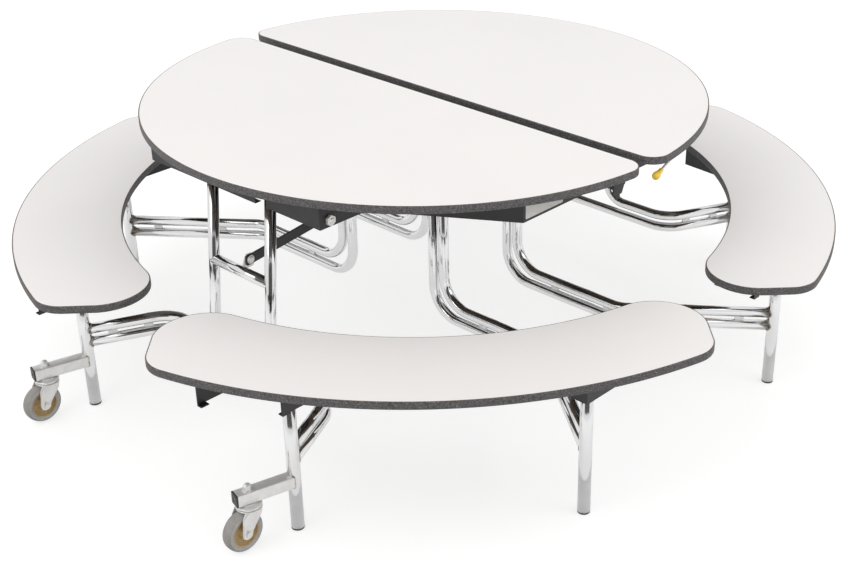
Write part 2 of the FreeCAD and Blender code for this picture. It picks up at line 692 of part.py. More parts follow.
def outer_channel():
    """The wide channel over the leg of the outer frame; the pin crosses the origin."""
    half = OUTER_CHANNEL_HALF
    far_front, near_front = OUTER_CHANNEL_FRONT
    far_back, near_back = OUTER_CHANNEL_BACK
    outline = [(-half, -far_front), (half, -near_front), (half, near_back), (-half, far_back)]
    hollow = half - CHANNEL_SHEET
    slope = (near_back - far_back) / (2.0 * half)
    back_sheet = CHANNEL_SHEET * math.sqrt(1.0 + slope * slope)
    beyond = 2.0 * far_front
    inner = [(-hollow, -beyond), (hollow, -beyond),
             (hollow, near_back - slope * CHANNEL_SHEET - back_sheet),
             (-hollow, far_back + slope * CHANNEL_SHEET - back_sheet)]
    body = channel(outline, inner, CHANNEL_LOW)
    body = body.fuse(channel_foot(-half, (-far_front, 1), 1))
    body = body.fuse(channel_foot(half, (-near_front, 1), -1))
    return pin_hole(body.removeSplitter())


def middle_channel():
    """The narrow channel over the leg of the middle frame; the leg is at the origin."""
    half = MIDDLE_CHANNEL_HALF
    front = MIDDLE_CHANNEL_FRONT
    back = MIDDLE_CHANNEL_BACK
    outline = [(-half, -front), (half, -front), (half, back), (-half, back)]
    hollow = half - CHANNEL_SHEET
    beyond = 2.0 * back
    inner = [(-hollow, -front + CHANNEL_SHEET), (hollow, -front + CHANNEL_SHEET),
             (hollow, beyond), (-hollow, beyond)]
    body = channel(outline, inner, CHANNEL_LOW)
    slot = MIDDLE_CHANNEL_SLOT / 2.0
    body = body.cut(box(-slot, slot, -front, -front + CHANNEL_SHEET, CHANNEL_LOW,
                        BENCH_UNDER - CHANNEL_SHEET))
    body = body.fuse(channel_foot(-half, (back, -1), 1))
    body = body.fuse(channel_foot(half, (back, -1), -1))
    return pin_hole(body.removeSplitter())


def near_right_bench():
    """The bench of the near half on the +X side, with its two channels."""
    board, band = board_and_edging(bench_prism, BENCH_UNDER, BENCH_HEIGHT)
    outer = outer_channel()
    outer.translate(V(OUTER_CHANNEL_X, -OUTER_LEG_Y, 0))
    middle = middle_channel()
    middle.translate(V(MIDDLE_LEG_X, -MIDDLE_LEG_Y, 0))
    return {
        "board": [turned(board, -FOLD_TURN)],
        "edging": [turned(band, -FOLD_TURN)],
        "channels": [outer, middle],
    }


# ---------------------------------------------------------------- underframe, near half

def hinge_channel():
    """The open-bottomed channel round the outer hinge, slotted where the posts pass."""
    half = HINGE_CHANNEL_HALF
    inner_y, outer_y = HINGE_CHANNEL_Y
    sheet = APRON_SHEET
    body = box(-half, half, -outer_y, -inner_y, APRON_LOW, TOP_UNDER)
    body = body.cut(box(-half + sheet, half - sheet, -outer_y + sheet, -inner_y - sheet,
                        APRON_LOW + sheet, TOP_UNDER - sheet))
    body = body.cut(box(-half + APRON_FLANGE, half - APRON_FLANGE, -outer_y + APRON_FLANGE,
                        -inner_y - APRON_FLANGE, APRON_LOW, APRON_LOW + sheet))
    for side in (1, -1):
        left = side * OUTER_POST_X - POST_SLOT_WIDTH / 2.0
        body = body.cut(box(left, left + POST_SLOT_WIDTH, -outer_y, -outer_y + APRON_FLANGE,
                            APRON_LOW, APRON_LOW + POST_SLOT_HEIGHT))
    shaft = rod_x(FOLD_SHAFT, -half, half, -FOLD_PIVOT_Y, FOLD_PIVOT_Z)
    return body.cut(shaft)


def inset_outline(points, inset):
    """Moves an open run of plan points to its left by inset, with mitred corners."""
    moved = []
    for index, point in enumerate(points):
        before = points[max(index - 1, 0)]
        after = points[min(index + 1, len(points) - 1)]
        first = (point - before) if index > 0 else (after - point)
        last = (after - point) if index < len(points) - 1 else (point - before)
        first_side = V(-first.y, first.x, 0).normalize()
        last_side = V(-last.y, last.x, 0).normalize()
        mitre = (first_side + last_side).normalize()
        moved.append(point + mitre * (inset / mitre.dot(first_side)))
    return moved


def strip(points, width, low, high):
    """A band of the given width to the left of a run of plan points."""
    ring = points + inset_outline(points, width)[::-1]
    lifted = [V(point.x, point.y, low) for point in ring]
    return prism(lifted, V(0, 0, high - low))


def side_rail():
    """A pressed rail from the hinge channel round to the split beam, on the +X side."""
    points = [V(HINGE_CHANNEL_HALF, -SIDE_RAIL_END_Y, 0), V(SIDE_RAIL_X, -SIDE_RAIL_BEND_Y, 0),
              V(SIDE_RAIL_X, -SPLIT_BEAM_Y[1], 0)]
    wall = strip(points, APRON_SHEET, APRON_LOW, TOP_UNDER)
    lower = strip(points, APRON_FLANGE, APRON_LOW, APRON_LOW + APRON_SHEET)
    upper = strip(points, APRON_FLANGE, TOP_UNDER - APRON_SHEET, TOP_UNDER)
    link = box(HINGE_CHANNEL_HALF - APRON_FLANGE, HINGE_CHANNEL_HALF, -HINGE_CHANNEL_Y[0],
               -SIDE_RAIL_END_Y + APRON_FLANGE, APRON_LOW, TOP_UNDER)
    link = link.cut(box(HINGE_CHANNEL_HALF - APRON_FLANGE, HINGE_CHANNEL_HALF - APRON_SHEET,
                        -HINGE_CHANNEL_Y[0], -SIDE_RAIL_END_Y + APRON_FLANGE,
                        APRON_LOW + APRON_SHEET, TOP_UNDER - APRON_SHEET))
    return wall.fuse(lower).fuse(upper).fuse(link).removeSplitter()


def split_beam():
    """The channel along the split, with a slanted plate at each end and the latch hook."""
    near_y, far_y = SPLIT_BEAM_Y
    sheet = APRON_SHEET
    half = SPLIT_BEAM_HALF
    beam = box(-half, half, -far_y, -near_y, APRON_LOW + APRON_FLANGE, TOP_UNDER)
    beam = beam.cut(box(-half, half, -far_y + sheet, -near_y - sheet, APRON_LOW + APRON_FLANGE,
                        TOP_UNDER - sheet))
    slant = APRON_FLANGE
    outline = [V(half, -near_y + slant / 2.0, TOP_UNDER), V(half, -near_y - slant, APRON_LOW),
               V(half, -far_y, APRON_LOW), V(half, -far_y, TOP_UNDER)]
    plate = prism(outline, V(END_PLATE_SHEET, 0, 0))
    return beam.fuse(plate).fuse(mirrored(plate)).removeSplitter()


def latch_hook():
    """The hook below the end plate of the split beam."""
    near_y, far_y = SPLIT_BEAM_Y
    x = SPLIT_BEAM_HALF - END_PLATE_SHEET
    low = APRON_LOW
    middle = (near_y + far_y) / 2.0
    back = -middle - HOOK_BACK
    tip = -middle + HOOK_TIP
    outline = [V(x, back, low + HOOK_RISE), V(x, back, low - HOOK_DROP),
               V(x, tip, low - HOOK_DROP), V(x, tip, low - HOOK_THROAT),
               V(x, -middle, low - HOOK_THROAT), V(x, -middle, low + HOOK_RISE)]
    return prism(outline, V(END_PLATE_SHEET, 0, 0))


def pivot_bracket():
    """The bracket under the top that hangs the half on the posts of the middle frame."""
    half = PIVOT_EAR_X + PIVOT_EAR_SHEET / 2.0
    wide = PIVOT_EAR_WIDTH / 2.0
    y = MIDDLE_RAIL_Y
    plate = box(-half, half, -y - wide, -y + wide, TOP_UNDER - PIVOT_EAR_SHEET, TOP_UNDER)
    ear = box(half - PIVOT_EAR_SHEET, half, -y - wide, -y + wide, FOLD_PIVOT_Z - wide, TOP_UNDER)
    body = plate.fuse(ear).fuse(mirrored(ear)).removeSplitter()
    return body.cut(rod_x(FOLD_SHAFT, -half, half, -y, FOLD_PIVOT_Z))


def hinge_shaft(half, y):
    shaft = rod_x(FOLD_SHAFT, -half, half, -y, FOLD_PIVOT_Z)
    nut = hexagon_x(NUT_WIDTH, half, half + NUT_HEIGHT, -y, FOLD_PIVOT_Z)
    return shaft.fuse(nut).fuse(mirrored(nut)).removeSplitter()


def table_half_parts():
    board, band = board_and_edging(half_round_prism, TOP_UNDER, TOP_HEIGHT)
    return {
        "top": [board],
        "top_edging": [band],
        "side_rails": both_sides([side_rail()]),
        "hinge_channel": [hinge_channel()],
        "split_beam": [split_beam(), latch_hook()],
        "pivot_bracket": [pivot_bracket()],
        "hinge_shafts": [hinge_shaft(HINGE_CHANNEL_HALF, FOLD_PIVOT_Y),
                         hinge_shaft(PIVOT_EAR_X + PIVOT_EAR_SHEET / 2.0, MIDDLE_RAIL_Y)],
    }


# ---------------------------------------------------------------- brace, casters, release

def brace():
    """The flat bar from the cross tube to the middle frame, slotted at its inner end."""
    half = BRACE_WIDTH / 2.0
    bar = box(0, BRACE_THICK, -half, BRACE_LENGTH + half, -half, half)
    bar = bar.cut(rod_x(BRACE_BOLT + 2.0 * RUNNING_FIT, 0, BRACE_THICK, 0, 0))
    slot = BRACE_SLOT / 2.0
    slot_start = BRACE_LENGTH - BRACE_TRAVEL
    cut = box(0, BRACE_THICK, slot_start, BRACE_LENGTH, -slot, slot)
    cut = cut.fuse(rod_x(BRACE_SLOT, 0, BRACE_THICK, slot_start, 0))
    cut = cut.fuse(rod_x(BRACE_SLOT, 0, BRACE_THICK, BRACE_LENGTH, 0))
    bar = bar.cut(cut)
    bar.rotate(V(0, 0, 0), V(1, 0, 0), BRACE_RISE)
    bar.translate(V(BRACE_SIDE_GAP, -BRACE_BOLT_Y, BRACE_BOLT_Z))
    return bar


def fork_leg(x0, x1):
    """One cheek of a caster fork, tapering from the swivel disc down to the axle."""
    half = FORK_DISC / 2.0 - FORK_CHEEK_INSET
    high = FORK_DISC_Z + FORK_DISC_SHEET
    low = AXLE_Z - FORK_BELOW_AXLE
    outline = [V(x0, half - FORK_CHEEK_BACK, high), V(x0, -half, high),
               V(x0, -WHEEL_TRAIL - FORK_AXLE_FRONT, low), V(x0, -WHEEL_TRAIL + FORK_AXLE_BACK, low)]
    return prism(outline, V(x1 - x0, 0, 0))


def caster_fork():
    """A swivel fork with its kingpin axis at the origin."""
    inner = WHEEL_WIDTH / 2.0 + FORK_GAP
    outer = inner + FORK_SHEET
    disc_top = FORK_DISC_Z + FORK_DISC_SHEET
    cup_top = disc_top + FORK_RACE
    race_top = cup_top + FORK_RACE
    disc = rod_z(FORK_DISC, 0, 0, FORK_DISC_Z, disc_top)
    cup_low = rod_z(FORK_CUP, 0, 0, disc_top, cup_top)
    cup_high = rod_z(FORK_DISC, 0, 0, cup_top, race_top)
    cap = rod_z(0.6 * FORK_DISC, 0, 0, race_top, ARM_LOW - SIDE_GAP)
    body = disc.fuse(cup_low).fuse(cup_high).fuse(cap)
    body = body.fuse(fork_leg(inner, outer)).fuse(mirrored(fork_leg(inner, outer)))
    body = body.removeSplitter()
    body = body.cut(rod_z(KINGPIN + 2.0 * RUNNING_FIT, 0, 0, FORK_DISC_Z, ARM_LOW))
    return body.cut(rod_x(AXLE, -outer, outer, -WHEEL_TRAIL, AXLE_Z))


def wheel_axle():
    outer = WHEEL_WIDTH / 2.0 + FORK_GAP + FORK_SHEET
    shaft = rod_x(AXLE, -outer, outer, -WHEEL_TRAIL, AXLE_Z)
    head = hexagon_x(1.7 * AXLE, outer, outer + AXLE_HEAD, -WHEEL_TRAIL, AXLE_Z)
    return shaft.fuse(head).fuse(mirrored(head)).removeSplitter()


def revolved_x(profile):
    """Revolves an outline of (x, radius) points about the wheel's axis."""
    points = [V(x, 0, radius) for x, radius in profile]
    face = Part.Face(Part.makePolygon(points + [points[0]]))
    ring = face.revolve(V(0, 0, 0), V(1, 0, 0), 360.0)
    ring.translate(V(0, -WHEEL_TRAIL, AXLE_Z))
    return ring


def wheel_hub():
    radius = HUB_DIAMETER / 2.0
    half = HUB_WIDTH / 2.0
    web = HUB_WEB / 2.0
    boss = HUB_BOSS / 2.0
    bore = AXLE / 2.0 + RUNNING_FIT
    reach = WHEEL_WIDTH / 2.0
    rim = radius - HUB_RIM
    right = [(half, radius), (half, rim), (web, rim - HUB_FILLET), (web, boss + HUB_FILLET),
             (reach, boss), (reach, bore)]
    left = [(-x, r) for x, r in right[::-1]]
    return revolved_x(right + left)


def wheel_tyre():
    radius = WHEEL_RADIUS
    half = WHEEL_WIDTH / 2.0
    inner = HUB_DIAMETER / 2.0
    aside, below = TYRE_SHOULDER
    right = [(half - TYRE_TREAD_INSET, radius), (half - aside, radius - below),
             (half, radius - TYRE_WALL_INSET), (half, inner + TYRE_LAP), (HUB_WIDTH / 2.0, inner)]
    left = [(-x, r) for x, r in right[::-1]]
    return revolved_x(right + left)


def placed_at_swivel(shapes, leg_x):
    moved = []
    for shape in shapes:
        copy = shape.copy()
        copy.translate(swivel_point(leg_x))
        moved.append(copy)
    return moved


def knob_direction():
    return (V(*KNOB_POINT) - V(ROD_BEND_X, ROD_Y, ROD_Z)).normalize()


def release_rod():
    points = [V(ROD_START_X, ROD_Y, ROD_Z), V(ROD_BEND_X, ROD_Y, ROD_Z), V(*KNOB_POINT)]
    return swept_rod(points, [ROD_BEND], ROD)


def release_knob():
    """The pear-shaped knob pushed over the end of the release rod."""
    radius = KNOB_DIAMETER / 2.0
    neck = ROD / 2.0 + KNOB_WALL
    profile = [V(0, 0, 0), V(neck, 0, 0), V(neck + KNOB_FLARE, 0, 0.35 * KNOB_LENGTH),
               V(radius, 0, 0.66 * KNOB_LENGTH), V(0.86 * radius, 0, 0.9 * KNOB_LENGTH),
               V(0.45 * radius, 0, KNOB_LENGTH), V(0, 0, KNOB_LENGTH)]
    face = Part.Face(Part.makePolygon(profile + [profile[0]]))
    knob = face.revolve(V(0, 0, 0), V(0, 0, 1), 360.0)
    direction = knob_direction()
    start = V(*KNOB_POINT) - direction * (0.3 * KNOB_LENGTH)
    knob.Placement = FreeCAD.Placement(start, FreeCAD.Rotation(V(0, 0, 1), direction))
    return knob.cut(release_rod())


def rod_guide():
    """The bracket under the far top that steadies the inner end of the release rod."""
    half = ROD_GUIDE_WIDTH / 2.0
    plate = box(ROD_GUIDE_X, ROD_GUIDE_X + LUG_THICK, ROD_Y - half, ROD_Y + half,
                ROD_Z - ROD_GUIDE_DROP, TOP_UNDER)
    hole = rod_x(ROD + 2.0 * RUNNING_FIT, 0, 2.0 * ROD_GUIDE_X, ROD_Y, ROD_Z)
    return plate.cut(hole)


# ---------------------------------------------------------------- assembly

def add_half(nodes, side, benches, place_frame, place_table):
    """The nodes that both halves share; the last two place near-half shapes on that half."""
    for name, shapes in outer_frame_parts().items():
        nodes[side + "_" + name] = place_frame(shapes)
    for name, shapes in table_half_parts().items():
        nodes[side + "_" + name] = place_table(shapes)
    nodes[side + "_brace"] = place_frame([brace()])
    fork = [caster_fork(), wheel_axle()]
    wheel = [wheel_tyre(), wheel_hub()]
    for bench, leg_x in zip(benches, OUTER_LEGS_X):
        nodes[bench + "_caster_fork"] = place_frame(placed_at_swivel(fork, leg_x))
        nodes[bench + "_caster_wheel"] = place_frame(placed_at_swivel(wheel, leg_x))


def add_benches(nodes):
    for name, shapes in near_right_bench().items():
        nodes["front_bench_" + name] = shapes
        nodes["left_bench_" + name] = [mirrored(shape) for shape in shapes]
        nodes["right_bench_" + name] = flipped(shapes)
        nodes["back_bench_" + name] = flipped(nodes["left_bench_" + name])


def add_release(nodes):
    hole = rod_x(ROD + 2.0 * RUNNING_FIT, 0, 2.0 * ROD_GUIDE_X, ROD_Y, ROD_Z)
    rails = [shape.cut(hole) for shape in nodes["far_side_rails"]]
    nodes["far_side_rails"] = rails + [rod_guide()]
    nodes["release_rod"] = [release_rod()]
    nodes["release_knob"] = [release_knob()]


def build():
    nodes = {}
    add_half(nodes, "near", ("front", "left"), list, list)
    add_half(nodes, "far", ("right", "back"), flipped, half_turn)
    for name, shapes in middle_frame_parts().items():
        nodes["middle_" + name] = shapes
    add_benches(nodes)
    add_release(nodes)
    return nodes


def export(nodes):
    os.makedirs("parts", exist_ok=True)
    for name, shapes in nodes.items():
        solids = []
        for shape in shapes:
            solids.extend(turned(shape, FOLD_TURN).Solids)
        Part.makeCompound(solids).exportStep("parts/" + name + ".step")
        volume = sum(solid.Volume for solid in solids) / 1000.0
        valid = all(solid.isValid() for solid in solids)
        print(name, len(solids), "solids", round(volume, 1), "cm3", "" if valid else "INVALID")


export(build())
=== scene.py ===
import math

import bmesh
import bpy
from bpy.props import FloatProperty, FloatVectorProperty, IntProperty, PointerProperty
from mathutils import Matrix, Vector


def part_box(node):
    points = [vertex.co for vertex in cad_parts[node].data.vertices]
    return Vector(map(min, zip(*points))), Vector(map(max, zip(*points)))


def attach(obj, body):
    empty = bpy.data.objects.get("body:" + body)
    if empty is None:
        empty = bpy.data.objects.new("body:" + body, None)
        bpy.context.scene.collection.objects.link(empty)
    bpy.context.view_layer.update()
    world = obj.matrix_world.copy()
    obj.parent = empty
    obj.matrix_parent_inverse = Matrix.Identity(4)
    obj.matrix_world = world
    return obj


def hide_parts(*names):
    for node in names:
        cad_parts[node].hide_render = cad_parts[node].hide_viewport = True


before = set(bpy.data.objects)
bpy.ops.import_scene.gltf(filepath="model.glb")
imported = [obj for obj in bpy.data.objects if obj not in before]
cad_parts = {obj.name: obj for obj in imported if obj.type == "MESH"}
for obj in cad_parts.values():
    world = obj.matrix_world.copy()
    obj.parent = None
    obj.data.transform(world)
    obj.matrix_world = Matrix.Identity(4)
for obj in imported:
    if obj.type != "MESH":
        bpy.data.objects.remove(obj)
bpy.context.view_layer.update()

bl_info = {
    "name": "Folding Table Dressing",
    "version": (1, 0, 0),
    "blender": (4, 5, 0),
    "location": "View3D > Sidebar > Table",
    "description": "Dresses a round folding table with four curved benches on casters",
    "category": "Object",
}

# The table is drawn in millimetres in its fold frame: X runs along the split between the two
# halves of the top, Y across it, and the near half lies at Y < 0. FOLD takes it to the scene.
MM = 0.001
FOLD = Matrix.Rotation(math.radians(-45.0), 4, "Z") @ Matrix.Scale(MM, 4)
BENCH_TURN = Matrix.Rotation(math.radians(45.0), 4, "Z")
AS_DRAWN = Matrix.Identity(4)
MIRROR_X = Matrix.Diagonal((-1.0, 1.0, 1.0, 1.0))
MIRROR_Y = Matrix.Diagonal((1.0, -1.0, 1.0, 1.0))
HALF_TURN = Matrix.Diagonal((-1.0, -1.0, 1.0, 1.0))
FRAME_PLACES = {"near": AS_DRAWN, "far": MIRROR_Y}
TABLE_PLACES = {"near": AS_DRAWN, "far": HALF_TURN}
BENCH_PLACES = {"front": AS_DRAWN, "left": MIRROR_X, "right": MIRROR_Y, "back": HALF_TURN}
CORNERS = (AS_DRAWN, MIRROR_X, MIRROR_Y, HALF_TURN)


def height_of(node, end):
    """The height in millimetres of a node's lowest (0) or highest (1) point."""
    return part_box(node)[end][2] / MM


# Boards
TOP_HIGH = height_of("near_top", 1)
TOP_LOW = height_of("near_top", 0)
BENCH_HIGH = height_of("front_bench_board", 1)
BENCH_LOW = height_of("front_bench_board", 0)
TOP_RADIUS = 762.0
SPLIT_Y = -17.0
TOP_CORNER = 50.0
BENCH_OUTER_ARC = 1183.0
BENCH_OUTER_CENTRE = 66.0
BENCH_INNER_ARC = 888.0
BENCH_INNER_CENTRE = 52.0
BENCH_HALF = 643.0
BENCH_OUTER_CORNER = 85.0
BENCH_INNER_CORNER = 120.0
EDGING = 3.0

# Tubes
LEG_RADIUS = 15.875
LEG_WALL = 1.6
LEG_LOW = 6.0
LEG_TOP = 412.0
RAIL_RADIUS = 14.3
RAIL_WALL = 1.65
RAIL_PITCH = 38.0
FOLD_Z = 673.0
POST_TOP = FOLD_Z + 15.0
NEAR_FOLD_Y = -645.0
MIDDLE_FOLD_Y = -150.0
BENCH_PIN_Z = 395.0
LEG_FAR = 898.026
LEG_SIDE = 403.051
OUTER_LEGS = (436.0, -388.0)
OUTER_CORNERS = (334.0, -286.0)
OUTER_RAIL_Y = -686.0
OUTER_RAIL_Z = 188.0
OUTER_BEND = 90.0
OUTER_POST = 110.0
OUTER_POST_BEND = 60.0
OUTER_CHANNEL_HALF = 88.0
CHANNEL_BACK_X = 500.0
CHANNEL_BACK_Y = (680.0, 700.0)
CHANNEL_TRIM = 95.0
SPLIT_END = 662.0
CROSS_TUBE_Z = 440.0
MIDDLE_RAIL_Z = 177.0
MIDDLE_CORNER = 570.0
MIDDLE_BEND = 60.0
MIDDLE_POSTS = (162.0, 200.0)
MIDDLE_POST_BEND = 85.0
MIDDLE_CHANNEL_HALF = 61.0

# Bolts, arms and casters
HINGE_HALF = 320.0
PIVOT_HALF = 227.5
SHAFT_RADIUS = 8.0
BRACE_BOLT_Y = -640.0
BRACE_BOLT_Z = 466.0
LUG_THICK = 5.0
LUG_HALF = 13.0
LUG_FLAT = 8.0
LUG_LIFT = 4.0
BRACE_OUTSIDE = 6.3
ARM_HALF = 15.875
ARM_Z = 138.0
ARM_LENGTH = 146.0
ARM_ANGLE = 15.0
SWIVEL_REACH = 116.0
ARM_WALL = 2.0
ARM_CORNER = 3.0
PLUG_CAP = 4.0
PLUG_DEPTH = 20.0
PLUG_HOLE_DEPTH = 2.6
FOOT_PLUG_TOP = 18.0
WHEEL_RADIUS = 50.8
WHEEL_HALF = 16.0
WHEEL_TRAIL = -24.0
AXLE_Z = 52.8
CHEEK_INNER = 18.5
CHEEK_OUTER = 21.0
FORK_LOW = 107.0
FORK_HIGH = 121.8
CHEEK_RIB = ((-22.0, 107.0), (-33.0, 95.0), (-37.5, 50.0), (-30.5, 50.0), (-25.0, 92.0),
             (-13.0, 106.0))
RIB_RISE = 2.2
TREAD_FROM = 45.0

# Hexagons of the bolts and nuts: width across the flats and height
PIN_HEX = (17.0, 6.0)
SHAFT_HEX = (24.0, 8.0)
KINGPIN_NUT = (20.0, 7.0)
KINGPIN_HEAD = (17.5, 3.7)
BRACE_NUT = (13.6, 6.0)
AXLE_NUT = (13.0, 4.5)

# Meshes
MERGE = 1e-6
FLAT_ANGLE = 1.0
BEAD_UNEVENNESS = 0.9

# Release rod, in the far half
ROD_RADIUS = 3.5
ROD_PATH = ((560.0, 139.0, 702.0), (724.0, 139.0, 702.0), (738.0, 62.0, 687.0))
ROD_BEND = 14.0
KNOB_LENGTH = 40.0
KNOB_RADIUS = 10.0

# The bare plate: the X of the rail's face, the middle and half of its sides in Y and in Z
PLATE_FACE_X = 640.0
PLATE_Y = (-257.5, 67.5)
PLATE_Z = (687.0, 25.0)
PLATE_THICK = 0.7

# The stage, in metres
WORLD_COLOUR = (1.0, 0.99, 0.985, 1.0)
WORLD_STRENGTH = 0.94
FLOOR_REACH = 14.0
FLOOR_LIFT = 0.70
LAMP_TARGET = (0.0, 0.0, 0.4)
KEY_POWER = 34.0
FILL_POWER = 21.0
# The dim grey glow of the studio cards: seen only in reflections, it paints dark reflections on the
# metal
CARD_REFLECTION_GLOW = (0.11, 0.107, 0.104, 1.0)
CEILING_CARD = ((-3.5, -6.0, 3.9), (3.5, -6.0, 3.9), (3.5, 7.0, 3.9), (-3.5, 7.0, 3.9))
FRONT_CARD = ((-4.0, -6.2, 0.9), (4.0, -6.2, 0.9), (4.0, -6.2, 3.8), (-4.0, -6.2, 3.8))

# The camera, for an image of 850 by 564 pixels
IMAGE_WIDTH = 850.0
IMAGE_MIDDLE = (425.0, 282.0)
FOCAL_PIXELS = 1435.03
OPTICAL_CENTRE = (505.79, 282.0)
CAMERA_PLACE = (0.0, -3.7026, 2.0604)
CAMERA_YAW = 0.0585
CAMERA_PITCH = 0.4761
CAMERA_ROLL = 0.0012


def colour(name, description, value):
    return FloatVectorProperty(name=name, description=description, subtype="COLOR",
                               size=3, min=0.0, max=1.0, default=value)


class TableSizes(bpy.types.PropertyGroup):
    tube_sides: IntProperty(name="Tube sides", description="Faces round each tube",
                            default=32, min=12, max=64)
    bend_steps: IntProperty(name="Bend steps", description="Steps in each bend of a tube",
                            default=14, min=4, max=32)
    arc_steps: IntProperty(name="Board steps", description="Steps along each long board edge",
                           default=144, min=48, max=320)
    sheet_bevel: FloatProperty(name="Sheet bevel", description="Rounding of folded sheet edges",
                               default=0.0006, min=0.0, max=0.002, unit="LENGTH")
    bead_radius: FloatProperty(name="Weld bead", description="Radius of a weld bead",
                               default=0.0017, min=0.001, max=0.005, unit="LENGTH")
    rim_line: FloatProperty(name="Rim line", description="Width of the brown line of a rim",
                            default=0.0011, min=0.0, max=0.003, unit="LENGTH")


class TableColours(bpy.types.PropertyGroup):
    laminate: colour("Laminate", "The smooth face of the boards", (0.86, 0.842, 0.832))
    backer: colour("Backer", "The underside of the boards", (0.17, 0.125, 0.085))
    edging: colour("Edging", "The moulded edge of the boards", (0.104, 0.100, 0.101))
    rim: colour("Rim", "The line between laminate and edging", (0.20, 0.105, 0.055))
    chrome: colour("Chrome", "The plated tubes", (0.73, 0.73, 0.735))
    steel: colour("Black steel", "The powder coat of the sheet metal", (0.0095, 0.0095, 0.0105))
    zinc: colour("Zinc", "The plated bolts, forks and arms", (0.80, 0.795, 0.78))
    plastic: colour("Black plastic", "The plugs and feet", (0.020, 0.019, 0.019))
    tyre: colour("Tyre", "The walls of the tyres", (0.50, 0.50, 0.49))
    tread: colour("Tread", "The running face of the tyres", (0.36, 0.345, 0.325))
    hub: colour("Hub", "The centre of the wheels", (0.52, 0.37, 0.175))
    knob: colour("Knob", "The soft knob of the release rod", (1.0, 0.64, 0.04))
    plate: colour("Bare plate", "The bare plate on the side rail", (0.72, 0.71, 0.69))
    floor: colour("Floor", "The studio floor", (0.42, 0.42, 0.42))


def sizes():
    return bpy.context.scene.table_sizes


def colours():
    return bpy.context.scene.table_colours


# ---------------------------------------------------------------- shader expressions

class Number:
    """A shader socket that carries a number; the operators add Math nodes."""

    def __init__(self, shader, socket):
        self.shader = shader
        self.socket = socket

    def math(self, operation, first, second):
        return self.shader.node("ShaderNodeMath", {"operation": operation}, {0: first, 1: second})

    def __add__(self, other):
        return self.math("ADD", self, other)

    def __radd__(self, other):
        return self.math("ADD", other, self)

    def __mul__(self, other):
        return self.math("MULTIPLY", self, other)

    def __rmul__(self, other):
        return self.math("MULTIPLY", other, self)


# The packed model has materials of its own, and some share a name with a finish made here.
OWN_FINISH = "table_"


class Shader:
    """A material's node tree; its finish method wires the surface."""

    def __init__(self, name):
        self.material = bpy.data.materials.new(OWN_FINISH + name)
        self.material.use_nodes = True
        self.tree = self.material.node_tree
        self.tree.nodes.clear()
        self.place = self.node("ShaderNodeTexCoord", {}, {}, "Object")

    def node(self, kind, settings, inputs, output=0):
        node = self.tree.nodes.new(kind)
        for name, value in settings.items():
            setattr(node, name, value)
        for name, value in inputs.items():
            if isinstance(value, Number):
                self.tree.links.new(value.socket, node.inputs[name])
            elif hasattr(value, "__len__") and len(value) == 3 and len(
                    getattr(node.inputs[name], "default_value", ())) == 4:
                node.inputs[name].default_value = (*value, 1.0)
            else:
                node.inputs[name].default_value = value
        return Number(self, node.outputs[output])

    def noise(self, scale, detail=2.0, roughness=0.5, stretch=(1.0, 1.0, 1.0)):
        place = self.node("ShaderNodeMapping", {}, {"Vector": self.place, "Scale": stretch})
        return self.node("ShaderNodeTexNoise", {}, {"Vector": place, "Scale": scale,
                         "Detail": detail, "Roughness": roughness})

    def cells(self, scale):
        """A random shade for each cell of a broken surface."""
        shade = self.node("ShaderNodeTexVoronoi", {}, {"Vector": self.place, "Scale": scale},
                          "Color")
        return self.node("ShaderNodeSeparateXYZ", {}, {"Vector": shade})

    def steps(self, value, low, high):
        """Stretches the part of a value between low and high to 0 to 1."""
        return self.node("ShaderNodeMapRange", {}, {"Value": value, "From Min": low,
                         "From Max": high})

    def mix(self, share, first, second):
        return self.node("ShaderNodeMix", {"data_type": "RGBA"}, {0: share, 6: first, 7: second},
                         2)

    def bump(self, height, strength, distance):
        return self.node("ShaderNodeBump", {}, {"Height": height, "Strength": strength,
                         "Distance": distance})

    def finish(self, **inputs):
        names = {name.replace("_", " ").title(): value for name, value in inputs.items()}
        surface = self.node("ShaderNodeBsdfPrincipled", {}, names)
        output = self.tree.nodes.new("ShaderNodeOutputMaterial")
        self.tree.links.new(surface.socket, output.inputs["Surface"])
        return self.material


def shaded(value, factor):
    return tuple(min(1.0, channel * factor) for channel in value)


def laminate():
    """Pale laminate with a fine fleck, faint clouds and a soft gloss."""
    shader = Shader("laminate")
    base = tuple(colours().laminate)
    fleck = shader.steps(shader.noise(900.0, 3.0, 0.6), 0.34, 0.62)
    cloud = shader.steps(shader.noise(2.2, 3.0), 0.3, 0.7)
    tone = shader.mix(fleck * 0.5, base, shaded(base, 1.07))
    tone = shader.mix(cloud * 0.35, tone, shaded(base, 0.94))
    wear = shader.noise(26.0, 4.0, 0.65)
    return shader.finish(base_color=tone, roughness=0.30 + wear * 0.16,
                         normal=shader.bump(shader.noise(520.0, 2.0), 0.10, 0.0003))


def backer():
    """Brown backing sheet with long faint streaks."""
    shader = Shader("board_backer")
    base = tuple(colours().backer)
    streak = shader.noise(6.0, 5.0, 0.6, (1.0, 14.0, 1.0))
    return shader.finish(base_color=shader.mix(streak, shaded(base, 0.7), shaded(base, 1.35)),
                         roughness=0.62 + streak * 0.2,
                         normal=shader.bump(streak, 0.2, 0.0004))


def edging():
    """Charcoal moulded edge with pale and dark specks."""
    shader = Shader("speckled_edging")
    base = tuple(colours().edging)
    grain = shader.noise(340.0, 4.0, 0.7)
    pale = shader.steps(grain, 0.54, 0.66)
    dark = shader.steps(shader.noise(260.0, 3.0), 0.54, 0.42)
    tone = shader.mix(pale * 0.8, base, shaded(base, 3.4))
    tone = shader.mix(dark * 0.7, tone, shaded(base, 0.35))
    return shader.finish(base_color=tone, roughness=0.50 + grain * 0.2,
                         normal=shader.bump(grain, 0.35, 0.0004))


